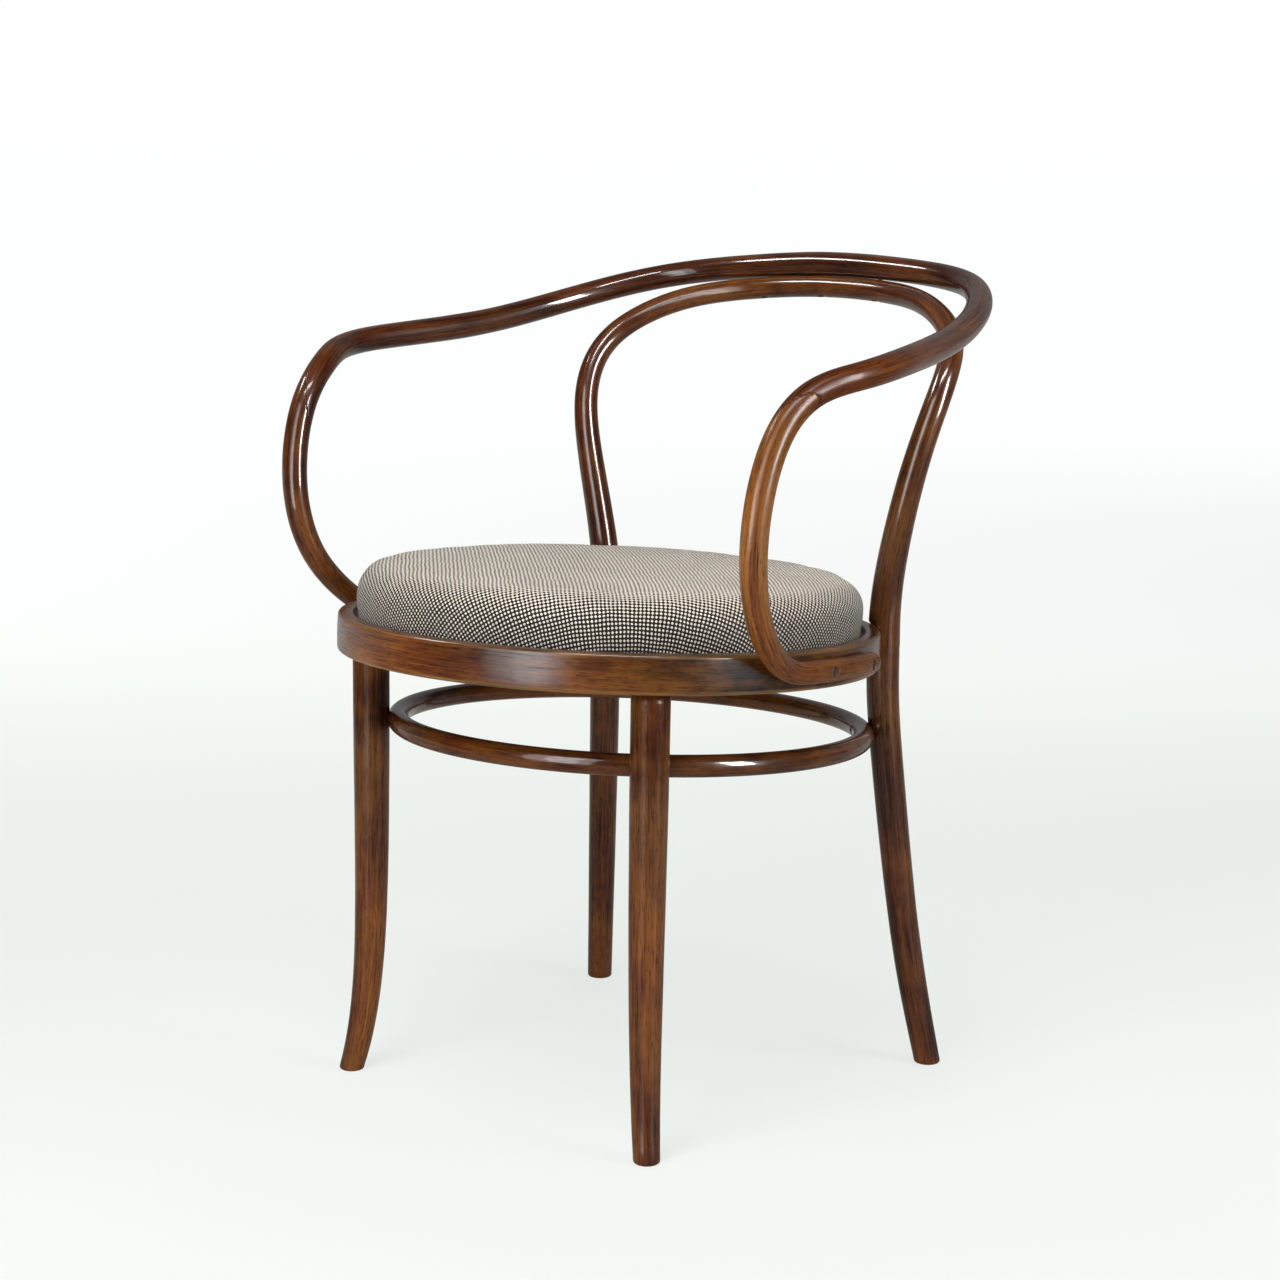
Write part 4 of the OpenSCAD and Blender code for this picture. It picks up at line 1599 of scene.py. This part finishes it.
@dataclass
class SeatRing:
    """The bent ring that carries the seat, with a rounded outer edge and a rebate inside."""

    seat: SeatPlane
    belly: float = 0.3 * MM
    edge_steps: int = 8
    side_steps: int = 6
    inner_arc_share: float = 0.29
    lip_arc_share: float = 0.32
    # Stretches round the ring in quarter turns: partly the wood's own tone, partly painted light and shade;
    # the darkest, at -0.20, next to where the left arm lies on the ring, is painted shade.
    tone_and_shade_quarters: tuple[Point, ...] = (
        (-1.25, 0.30, 0.22),
        (-0.82, 0.13, -0.12),
        (-0.56, 0.12, 0.08),
        (-0.20, 0.28, -0.42),
        (0.9, 0.4, 0.15),
    )
    screw_sink: Sink = Sink()
    screw_angles: tuple[float, ...] = (28, 152, 248, 292)

    def outline(self) -> list[Point]:
        """Lists the points of the ring's section.

        Returns:
            The points, in the plane Y = 0.
        """
        s = self.seat
        edge, side_x = s.edge, s.ring_radius - self.belly
        top: list[Pair] = []
        for k in range(self.edge_steps + 1):
            turn = math.radians(90 * k / self.edge_steps)
            top.append((side_x - edge + edge * math.sin(turn), -edge + edge * math.cos(turn)))
        side = []
        for k in range(1, self.side_steps):
            share = k / self.side_steps
            bulge = self.belly * math.sin(math.pi * share)
            side.append((side_x + bulge, mix(-edge, edge - s.ring_height, share)))
        bottom = [(x, -s.ring_height - z) for x, z in reversed(top)]
        inner, lip = edge / 2, edge / 4
        inner_arc, lip_arc = inner * self.inner_arc_share, lip * self.lip_arc_share
        inside = [
            (s.inner_radius + inner, -s.ring_height),
            (s.inner_radius + inner_arc, -s.ring_height + inner_arc),
            (s.inner_radius, -s.ring_height + inner),
            (s.inner_radius, -s.rebate),
            (s.rebate_radius, -s.rebate),
            (s.rebate_radius, -lip),
            (s.rebate_radius + lip_arc, -lip_arc),
            (s.rebate_radius + lip, 0.0),
        ]
        return [(x, 0.0, z) for x, z in top + side + bottom + inside]

    def _beech(self) -> StainedBeech:
        """Gives the ring's finish, worn at its outer edges, with stretches of tone, painted light and
        painted shade counted in quarter turns.

        Returns:
            The finish.
        """
        quarter = math.pi / 2 * self.seat.ring_radius
        return StainedBeech(
            "ring_beech",
            tone=0.05,
            amber=0.55,
            seed=2.9,
            coat_rough=0.18,
            worn_edges=(-self.belly, self.belly - self.seat.ring_height),
            # Painted shade on the faces inward of the rim.
            shaded_inner_face=-self.seat.rim_width,
            lacquer=0.8,
            tone_and_shade=tuple((at * quarter, reach * quarter, more) for at, reach, more in self.tone_and_shade_quarters),
        )

    def build(self) -> list[bpy.types.Object]:
        """Builds and dresses the ring, with the sinks of its screws.

        Returns:
            The ring.
        """
        seat = self.seat
        piece = turned("ring", self.outline(), seat.ring_radius, seat.matrix())
        cutters = bmesh.new()
        reach = (seat.inner_radius + seat.rebate_radius) / 2
        for angle in self.screw_angles:
            face = seat.put(polar(reach, angle) - UP * seat.ring_height)
            self.screw_sink.cut(cutters, face, seat.facing(-UP))
        cut_out(piece, cutters)
        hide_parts("seat_ring")
        dress(piece, self._beech().build(), "ring_wood")
        return [piece]


@dataclass
class FrontLegs:
    """The two front legs, which swell upward and kick out at the foot."""

    seat: SeatPlane
    top_d: float = 31.8 * MM
    foot_d: float = 21.8 * MM
    inset: float = 28 * MM
    angle: float = 40.0
    kick: float = 18 * MM
    kick_power: int = 6
    lean: float = 1 * MM
    foot_edge: float = 2.5 * MM
    rows: int = 40

    @property
    def reach(self) -> float:
        """Distance of a leg's top from the middle of the seat."""
        return self.seat.ring_radius - self.inset

    @property
    def top(self) -> Vector:
        """Middle of the left leg's top."""
        return self.seat.put(polar(self.reach, -self.angle) - UP * self.seat.ring_height)

    def middle(self, share: float) -> Vector:
        """Gives a point on the left leg's line.

        Args:
            share: 0 at the foot, 1 at the top.

        Returns:
            The point.
        """
        out = self.reach - self.lean * (1 - share**2) + self.kick * (1 - share) ** self.kick_power
        spot, top, forward = polar(out, -self.angle), self.top, self.seat.forward
        lift = top.y - forward - polar(self.reach, -self.angle).y
        return Vector((spot.x, spot.y + forward + lift * share, mix(self.foot_edge, top.z, share)))

    def radius(self, share: float) -> float:
        """Gives the leg's radius.

        Args:
            share: 0 at the foot, 1 at the top.

        Returns:
            The radius there.
        """
        return mix(self.foot_d, self.top_d, 1 - (1 - share) ** 2) / 2

    def _leg(self, side: str) -> bpy.types.Object:
        """Builds one leg.

        Args:
            side: left or right.

        Returns:
            The leg.
        """
        shape = FrontLegRod(self).sweep()
        if side == "right":
            bmesh.ops.scale(shape, vec=(-1, 1, 1), verts=shape.verts)
        piece = mesh_object("leg_piece_" + side, shape)
        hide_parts("front_leg_" + side)
        return piece

    def build(self) -> list[bpy.types.Object]:
        """Builds and dresses both legs.

        Returns:
            The left leg and the right one.
        """
        pieces = [self._leg(side) for side in ("left", "right")]
        beech = StainedBeech(
            "leg_beech",
            tone=0.11,
            amber=0.5,
            seed=5.3,
            coat_rough=0.2,
            tone_and_shade=((0.0, 0.22, 0.08), (0.36, 0.14, -0.15)),
            worn_lacquer=((0.36, 0.05, 0.9),),
        ).build()
        for piece in pieces:
            dress(piece, beech, "leg_wood")
        return pieces


class FrontLegRod(BentRod):
    """A front leg as a rod whose rings tip from the floor's plane into the seat's."""

    def __init__(self, legs: FrontLegs) -> None:
        """Takes the sizes of the legs.

        Args:
            legs: the legs.
        """
        path = BentPath([legs.middle(k / legs.rows) for k in range(legs.rows + 1)])
        super().__init__(path, 0, path.last, lambda place, _: legs.radius(place / path.last))
        self.rounding = legs.foot_edge
        self.up = legs.seat.facing(UP)

    def stations(self) -> list[Station]:
        """Lists the leg's rings from the foot's rounding upward.

        Returns:
            The rings.
        """
        found: list[Station] = []
        for place, point in enumerate(self.path.handles):
            heading = UP.lerp(self.up, place / self.path.last).normalized()
            found.append(Station(point, heading, self.radius_at(place, point), point.z))
        top_radius = found[-1].radius
        self._hand_scrape(found)
        found[-1].radius = top_radius
        return self.rounded(found[0], -1.0)[::-1] + found


@dataclass
class Stretcher:
    """The round stretcher that is screwed to all four legs from inside."""

    seat: SeatPlane
    legs: FrontLegs
    bow: BackBow
    thickness: float = 18.4 * MM
    sides: int = 40
    screw_sink: Sink = Sink(depth=0.7 * MM, rise=6 * MM)
    leg_share: float = 0.8
    bow_handle: int = 3

    def build(self) -> list[bpy.types.Object]:
        """Builds and dresses the stretcher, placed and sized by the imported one.

        Returns:
            The stretcher.
        """
        low, high = (Vector(corner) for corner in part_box("stretcher_ring"))
        middle = (low + high) / 2
        half = self.thickness / 2
        radius = (high.x - low.x) / 2 - half
        turns = [math.tau * k / self.sides for k in range(self.sides)]
        section = [(radius + half * math.cos(turn), 0.0, half * math.sin(turn)) for turn in turns]
        place = Matrix.Translation(middle) @ self.seat.slope()
        piece = turned("stretcher", section, radius, place)
        cutters = bmesh.new()
        for post in (self._leg_spot(middle), self._bow_spot(middle)):
            for spot in (post, mirrored(post)):
                outward = (spot - middle).normalized()
                self.screw_sink.cut(cutters, middle + outward * (radius - half), -outward)
        cut_out(piece, cutters)
        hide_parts("stretcher_ring")
        beech = StainedBeech("stretcher_beech", tone=0.03, amber=0.4, seed=3.6)
        dress(piece, beech.build(), "stretcher_wood")
        return [piece]

    def _height(self, spot: Vector, middle: Vector) -> float:
        """Gives the stretcher's height beside a post.

        Args:
            spot: a point on the post.
            middle: the stretcher's middle.

        Returns:
            The height.
        """
        return middle.z - (spot.y - middle.y) * math.tan(math.radians(self.seat.tilt))

    def _leg_spot(self, middle: Vector) -> Vector:
        """Gives the front leg's middle at the stretcher.

        Args:
            middle: the stretcher's middle.

        Returns:
            The point.
        """
        legs = self.legs
        height = self._height(legs.middle(self.leg_share), middle)
        return legs.middle((height - legs.foot_edge) / (legs.top.z - legs.foot_edge))

    def _bow_spot(self, middle: Vector) -> Vector:
        """Gives the rear leg's middle at the stretcher.

        Args:
            middle: the stretcher's middle.

        Returns:
            The point.
        """
        path = self.bow.path()
        height = self._height(path.at(self.bow_handle), middle)
        return path.at(path.place_at_height(height, 0, 2 * self.bow_handle))


@dataclass
class SeatPad:
    """The upholstered drop-in seat: a crowned pad with its cover, and the cloth that closes it below."""

    seat: SeatPlane
    play: float = 2.6 * MM
    side: float = 19 * MM
    shoulder_h: float = 23 * MM
    shoulder_w: float = 22 * MM
    crown_h: float = 9 * MM
    draw_in: float = 1.6 * MM
    fold: float = 3 * MM
    steps: int = 96
    arc_steps: int = 12
    crown_steps: int = 9
    voxel: float = 4.5 * MM
    held_below: float = 0.5 * MM
    loose_above: float = 1 * MM
    swell_cap: float = 6 * MM
    slack: Point = (3.5 * MM, 7 * MM, 1.0 * MM)
    foam_hold: float = 0.65
    heart_share: float = 0.25
    soften_rounds: int = 6
    ring_gap: float = 0.4 * MM
    pull: float = 0.5 * MM
    pulls: int = 24
    uneven_size: float = 5.0
    uneven_turn: float = 2.5
    uneven_pull: float = 0.6
    weave_turn: float = 45.0
    frames: int = 20
    cloth: dict[str, object] = field(
        default_factory=lambda: {
            "quality": 6,
            "mass": 0.3,
            "tension_stiffness": 30,
            "compression_stiffness": 30,
            "shear_stiffness": 10,
            "bending_stiffness": 2.0,
            "use_pressure": True,
            "uniform_pressure_force": 4.0,
            "vertex_group_mass": "held",
        }
    )
    tack_ring: float = 175 * MM
    lining_radius: float = 182.2 * MM
    lining_t: float = 0.8 * MM
    lining_gap: float = 0.1 * MM
    lining_sag: float = 1.6 * MM
    lining_wave: float = 0.25 * MM
    lining_shares: tuple[float, ...] = (
        0.985, 0.96, 0.93, 0.88, 0.8, 0.7, 0.58, 0.45, 0.32, 0.2, 0.08,
    )

    @property
    def radius(self) -> float:
        """Radius of the pad's widest line."""
        return self.seat.rebate_radius - self.play

    @property
    def inner(self) -> float:
        """Radius of the crown inside the shoulder."""
        return self.radius - self.shoulder_w

    def outline(self, slack: Point) -> list[Point]:
        """Lists the pad's half outline from its underside to the middle of its crown.

        Args:
            slack: what the cloth will pull in at the side, lift at the crown and lose at the shoulder.

        Returns:
            The points, in the plane Y = 0.
        """
        foot, under, fold = self.radius - self.draw_in, -self.seat.rebate, self.fold
        out, lift, lost = slack
        points: list[Pair] = [(0.0, under), (foot * 0.6, under), (foot - fold, under)]
        points += [(foot - 0.3 * fold, under + 0.3 * fold), (foot, under + fold), (foot, 0.0)]
        points.append((foot + 0.5 * self.draw_in + out * 0.6, self.side * 0.4))
        for k in range(self.arc_steps + 1):
            turn = math.radians(90 * k / self.arc_steps)
            x = self.inner + (self.shoulder_w + out) * math.cos(turn)
            rise = self.shoulder_h + lost + self._crown(x, lift)
            points.append((x, self.side + rise * math.sin(turn)))
        top = self.side + self.shoulder_h + lost
        for k in range(1, self.crown_steps + 1):
            x = self.inner * (1 - k / self.crown_steps)
            points.append((x, top + self._crown(x, lift)))
        return [(x, 0.0, z) for x, z in points]

    def _crown(self, reach: float, lift: float) -> float:
        """Gives the crown's rise.

        Args:
            reach: distance from the middle of the pad.
            lift: what the cloth will add to it.

        Returns:
            The rise above the shoulder.
        """
        return (self.crown_h - lift) * (1 - (reach / self.radius) ** 2)

    def _swell(self, piece: bpy.types.Object) -> None:
        """Lets cloth under pressure swell the pad, within a cap, and keeps its foot where it sits.

        Args:
            piece: the pad, in the seat's own plane.
        """
        rest = [vert.co.copy() for vert in piece.data.vertices]
        held = piece.vertex_groups.new(name="held")
        low = [vert.index for vert in piece.data.vertices if vert.co.z < self.held_below]
        held.add(low, 1.0, "REPLACE")
        cloth = piece.modifiers.new("cloth", "CLOTH")
        for key, value in self.cloth.items():
            setattr(cloth.settings, key, value)
        cloth.settings.effector_weights.gravity = 0.0
        cloth.collision_settings.use_self_collision = False
        cloth.point_cache.frame_start = 1
        cloth.point_cache.frame_end = self.frames
        scene = bpy.context.scene
        for number in range(1, self.frames + 1):
            scene.frame_set(number)
        settle(piece)
        scene.frame_set(1)
        for vert, before in zip(piece.data.vertices, rest):
            move = vert.co - before
            if move.length > self.swell_cap:
                vert.co = before + move * (self.swell_cap / move.length)
        self._hold(piece)

    def _hold(self, piece: bpy.types.Object) -> None:
        """Brings the swollen cover part of the way back to the form of the foam under it.

        Args:
            piece: the pad, in the seat's own plane.
        """
        heart = self.heart_share * self.side
        above = [(x, z - heart) for x, _, z in self.outline((0.0, 0.0, 0.0)) if z > heart]
        form = sorted((math.atan2(z, x), math.hypot(x, z)) for x, z in above)
        for vert in piece.data.vertices:
            reach, rise = math.hypot(vert.co.x, vert.co.y), vert.co.z - heart
            if rise <= 0:
                continue
            away = math.hypot(reach, rise)
            kept = mix(away, lookup(math.atan2(rise, reach), form), self.foam_hold) / away
            vert.co = Vector((vert.co.x * kept, vert.co.y * kept, heart + rise * kept))

    def _flat_place(self, spot: Vector) -> Point:
        """Finds where a point of the pad lies on the flat cloth.

        Args:
            spot: the point, in the seat's own plane.

        Returns:
            The place along both yarns, and how steep the cloth lies there.
        """
        length, steep = math.hypot(spot.x, spot.y), 0.0
        over, bend = length - self.inner, (self.shoulder_w + self.shoulder_h) / 2
        if spot.z > 0 and over > 0:
            turn = math.atan2(max(spot.z - self.side, 0.0) / self.shoulder_h, over / self.shoulder_w)
            length = self.inner + (math.pi / 2 - turn) * bend + max(self.side - spot.z, 0.0)
            steep = min(1.0, 1 - turn / (math.pi / 2))
        elif spot.z <= 0:
            length = self.inner + math.pi / 2 * bend + self.side - spot.z
            steep = 1.0
        angle = math.atan2(spot.y, spot.x) + math.radians(self.weave_turn)
        return length * math.cos(angle), length * math.sin(angle), steep

    def _pad(self) -> bpy.types.Object:
        """Builds the pad with its cover.

        Returns:
            The pad.
        """
        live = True
        outline = self.outline(self.slack if live else (0.0, 0.0, 0.0))
        piece = turned("pad", outline, self.radius, Matrix.Identity(4), False, self.steps)
        even = piece.modifiers.new("even", "REMESH")
        even.mode = "VOXEL"
        even.voxel_size = self.voxel
        settle(piece)
        if live:
            self._swell(piece)
        shape = bmesh.new()
        shape.from_mesh(piece.data)
        bpy.data.objects.remove(piece)
        loose = [vert for vert in shape.verts if vert.co.z > self.loose_above]
        for _ in range(self.soften_rounds):
            bmesh.ops.smooth_vert(
                shape, verts=loose, factor=0.5, use_axis_x=True, use_axis_y=True, use_axis_z=True
            )
        self._pull_down(shape)
        piece = mesh_object("seat_pad", shape)
        finer = piece.modifiers.new("finer", "SUBSURF")
        finer.levels = finer.render_levels = 1
        settle(piece)
        self._lay_cloth(piece)
        piece.data.transform(self.seat.matrix())
        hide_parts("seat_cover", "seat_foam")
        return piece

    def _pull_down(self, shape: bmesh.types.BMesh) -> None:
        """Draws the cover in where it was pulled down by hand, and keeps it clear of the ring.

        Args:
            shape: the pad's shape, in the seat's own plane.
        """
        limit = self.seat.rebate_radius - self.ring_gap
        for vert in shape.verts:
            reach, turn = math.hypot(vert.co.x, vert.co.y), math.atan2(vert.co.y, vert.co.x)
            if reach < self.radius / 2 or vert.co.z > self.side:
                continue
            uneven = noise.noise(Vector((math.cos(turn), math.sin(turn), 0.3)) * self.uneven_size)
            fold = 0.5 + 0.5 * math.cos(self.pulls * turn + self.uneven_turn * uneven)
            low = max(0.0, 1 - max(vert.co.z, 0.0) / self.side) ** 2
            target = min(reach - self.pull * low * (fold + self.uneven_pull * uneven), limit)
            vert.co.x *= target / reach
            vert.co.y *= target / reach

    def _lay_cloth(self, piece: bpy.types.Object) -> None:
        """Writes the flat cloth's place onto the pad's vertices.

        Args:
            piece: the pad, in the seat's own plane.
        """
        layer = piece.data.attributes.new("cloth", "FLOAT_VECTOR", "POINT")
        flat: list[float] = []
        for vert in piece.data.vertices:
            flat += self._flat_place(vert.co)
        layer.data.foreach_set("vector", flat)
        for face in piece.data.polygons:
            face.use_smooth = True

    def _lining(self) -> bpy.types.Object:
        """Builds the cloth below the seat, drawn tight between its tacks.

        Returns:
            The cloth.
        """
        shape = bmesh.new()
        level = Matrix.Translation(-UP * (self.seat.rebate + self.lining_gap))
        verts = bmesh.ops.create_circle(
            shape, cap_ends=False, radius=self.lining_radius, segments=self.steps, matrix=level
        )["verts"]
        edges = edges_of(verts)
        before = 1.0
        for share in self.lining_shares:
            verts, edges = grow_rim(shape, edges)
            bmesh.ops.scale(shape, vec=(share / before, share / before, 1), verts=verts)
            before = share
        bmesh.ops.holes_fill(shape, edges=edges, sides=self.steps + 1)
        for vert in shape.verts:
            reach = math.hypot(vert.co.x, vert.co.y)
            share = min(1.0, reach / self.tack_ring)
            vert.co.z -= self.lining_sag * (1 - share**2)
            if reach > self.tack_ring:
                turn = math.atan2(vert.co.y, vert.co.x)
                wave = 0.5 - 0.5 * math.cos(self.pulls * turn + math.pi)
                vert.co.z -= self.lining_wave * wave
        bmesh.ops.transform(shape, matrix=self.seat.matrix(), verts=shape.verts)
        piece = mesh_object("lining", shape)
        thick = piece.modifiers.new("thick", "SOLIDIFY")
        thick.thickness = self.lining_t
        thick.offset = 1.0 if piece.data.polygons[0].normal.z < 0 else -1.0
        settle(piece)
        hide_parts("dust_cover")
        return piece

    def build(self) -> list[bpy.types.Object]:
        """Builds and dresses the pad and the cloth below it, and dresses the board between them.

        Returns:
            The pad, the cloth below and the board.
        """
        pad, lining = self._pad(), self._lining()
        dress(pad, DottedWeave().build(), "cover_cloth")
        dress(lining, SpunCloth().build(), "dust_cloth")
        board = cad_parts["seat_board"]
        dress(board, Plywood().build())
        return [pad, lining, board]


class SteelKind(Enum):
    """The kinds of steel on the chair."""

    DARK = "darkened"
    ZINC = "zinc"
    BLUED = "blued"


@dataclass
class Fasteners:
    """The screws, bolts and tacks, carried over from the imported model."""

    nodes: dict[str, SteelKind] = field(
        default_factory=lambda: {
            "arm_screws": SteelKind.DARK,
            "stretcher_screws": SteelKind.DARK,
            "rail_screws": SteelKind.DARK,
            "seat_screws": SteelKind.ZINC,
            "rear_leg_bolts": SteelKind.DARK,
            "rear_leg_washers": SteelKind.ZINC,
            "rear_leg_nuts": SteelKind.ZINC,
            "cover_tacks": SteelKind.BLUED,
        }
    )

    def build(self) -> list[bpy.types.Object]:
        """Dresses each fastener in its steel.

        Returns:
            The fasteners.
        """
        steels = {
            SteelKind.DARK: BareMetal("dark_steel", (0.09, 0.065, 0.05), (0.02, 0.013, 0.01), 0.42),
            SteelKind.ZINC: BareMetal("zinc_steel", (0.62, 0.60, 0.56), (0.30, 0.28, 0.25), 0.3),
            SteelKind.BLUED: BareMetal("blued_steel", (0.20, 0.21, 0.24), (0.06, 0.06, 0.07), 0.35),
        }
        made = {kind: steel.build() for kind, steel in steels.items()}
        for name, kind in self.nodes.items():
            dress(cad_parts[name], made[kind])
        return [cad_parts[name] for name in self.nodes]


# The studio


class LampUse(Enum):
    """What a lamp is for."""

    BOTH = "light and gloss"
    FILL = "light without a reflection of its own"
    GLOSS = "a bright reflection on lacquer"


@dataclass(frozen=True)
class Softbox:
    """A rectangular lamp. Its turn counts from the camera's side of the chair, to the right."""

    name: str
    turn: float
    away: float
    height: float
    size: Pair
    glow: float
    use: LampUse = LampUse.BOTH
    aim: float = 0.45


@dataclass
class Studio:
    """A pale seamless studio: floor, soft lamps, sky and the camera of the photograph."""

    camera_place: Point = (1.3742, -1.6473, 0.7224)
    azimuth: float = 39.46
    pitch: float = -9.0
    roll: float = 1.13
    lens: float = 69.73
    sensor: float = 36.0
    shift: Pair = (-0.0127, 0.0014)
    clip_end: float = 60.0
    floor_half: float = 24.0
    floor_parts: int = 8
    haze: Colour = (0.975, 1.0, 0.985)
    horizon: Edge = (0.02, 0.12)
    sweep_turn: float = 8.0
    sweep_edge: Edge = (0.45, 0.5)
    ceiling_edge: Edge = (0.6, 0.8)
    fill_shares: Point = (0.62, 0.12, 0.05)
    shine_shares: Pair = (0.20, 0.03)
    lamps: tuple[Softbox, ...] = (
        Softbox("key", -31, 1.7, 0.95, (1.0, 1.9), 3.6),
        Softbox("overhead", -25, 1.2, 2.7, (1.4, 1.4), 5.6, LampUse.FILL),
        Softbox("right_fill", 66, 2.2, 1.2, (1.0, 1.4), 5.8, LampUse.FILL),
        Softbox("key_core", -29, 1.66, 0.95, (0.45, 1.9), 4.5, LampUse.GLOSS),
        Softbox("strip", 52, 2.5, 1.3, (0.56, 1.45), 60.0, LampUse.GLOSS),
        Softbox("left_high", -99, 2.1, 2.55, (0.8, 0.26), 50.0, LampUse.GLOSS),
        Softbox("front_high", 4, 1.35, 2.75, (1.5, 0.26), 44.0, LampUse.GLOSS),
        Softbox("low_right", 50, 2.0, 0.4, (0.8, 0.8), 0.9, LampUse.GLOSS),
    )

    def camera(self) -> None:
        """Sets up the camera."""
        a, p, r = (math.radians(v) for v in (self.azimuth, self.pitch, self.roll))
        ahead = Vector((-math.sin(a) * math.cos(p), math.cos(a) * math.cos(p), math.sin(p)))
        level = Vector((math.cos(a), math.sin(a), 0.0))
        upright = level.cross(ahead)
        right = level * math.cos(r) + upright * math.sin(r)
        up = upright * math.cos(r) - level * math.sin(r)
        data = bpy.data.cameras.new("camera")
        data.lens = self.lens
        data.sensor_width = self.sensor
        data.sensor_fit = "HORIZONTAL"
        data.shift_x, data.shift_y = self.shift
        data.clip_end = self.clip_end
        made = bpy.data.objects.new("camera", data)
        turn = Matrix((right, up, -ahead)).transposed().to_4x4()
        made.matrix_world = Matrix.Translation(self.camera_place) @ turn
        bpy.context.scene.collection.objects.link(made)
        bpy.context.scene.camera = made

    def lamp(self, lamp: Softbox) -> None:
        """Hangs a soft rectangular lamp round the chair.

        Args:
            lamp: the lamp's sizes and place.
        """
        data = bpy.data.lights.new(lamp.name, "AREA")
        data.shape = "RECTANGLE"
        data.size, data.size_y = lamp.size
        data.energy = lamp.glow * math.pi * lamp.size[0] * lamp.size[1]
        made = bpy.data.objects.new(lamp.name, data)
        turn = math.radians(self.azimuth + lamp.turn - 90)
        place = Vector((lamp.away * math.cos(turn), lamp.away * math.sin(turn), lamp.height))
        made.visible_diffuse = lamp.use is not LampUse.GLOSS
        made.visible_glossy = lamp.use is not LampUse.FILL
        facing = (UP * lamp.aim - place).to_track_quat("-Z", "Y")
        made.matrix_world = Matrix.Translation(place) @ facing.to_matrix().to_4x4()
        bpy.context.scene.collection.objects.link(made)

    def floor(self) -> None:
        """Lays the floor."""
        shape = bmesh.new()
        parts = self.floor_parts
        bmesh.ops.create_grid(shape, x_segments=parts, y_segments=parts, size=self.floor_half)
        piece = mesh_object("studio_floor", shape)
        dress(piece, StudioFloor(self.azimuth, self.haze).build())

    def sky(self) -> None:
        """Lights the surroundings: white sweep behind the chair, a dim room behind the camera."""
        world = bpy.data.worlds.new("studio_world")
        bpy.context.scene.world = world
        hall = Finish(world)
        toward = hall.node("ShaderNodeTexCoord", output="Generated")
        x, y, z = hall.parts(toward)
        turn = math.radians(self.azimuth - self.sweep_turn)
        behind = y * math.cos(turn) - x * math.sin(turn)
        white = behind.above(*self.sweep_edge)
        of_sweep, of_ceiling, room = self.fill_shares
        fill = white * of_sweep + z.above(*self.ceiling_edge) * (1 - white) * of_ceiling + room
        of_sweep, room = self.shine_shares
        shine = white * of_sweep + room
        camera, mirror = hall.rays()
        bright = camera + mirror * shine + (1 - camera - mirror) * fill
        colour = hall.blended(z.above(*self.horizon), self.haze, (1.0, 1.0, 1.0))
        colour = hall.blended(bright, (0.0, 0.0, 0.0), colour)
        light = hall.node("ShaderNodeBackground", inputs={"Color": colour, "Strength": 1.0})
        hall.node("ShaderNodeOutputWorld", inputs={"Surface": light})

    def build(self) -> None:
        """Builds the studio."""
        self.camera()
        self.floor()
        self.sky()
        for softbox in self.lamps:
            self.lamp(softbox)
        bpy.context.scene.view_settings.view_transform = "Standard"


def main() -> None:
    """Builds the chair's looks and the studio."""
    logging.basicConfig(level=logging.INFO, format="%(message)s")
    seat = SeatPlane()
    bow, legs = BackBow(seat), FrontLegs(seat)
    assemblies = {
        "back": bow,
        "rail and arms": RailAndArms(bow),
        "seat ring": SeatRing(seat),
        "front legs": legs,
        "stretcher": Stretcher(seat, legs, bow),
        "seat pad": SeatPad(seat),
        "fasteners": Fasteners(),
    }
    for what, assembly in assemblies.items():
        for piece in assembly.build():
            LOG.info("%s: %s, %d faces", what, piece.name, len(piece.data.polygons))

    Studio().build()


if __name__ == "__main__":
    main()
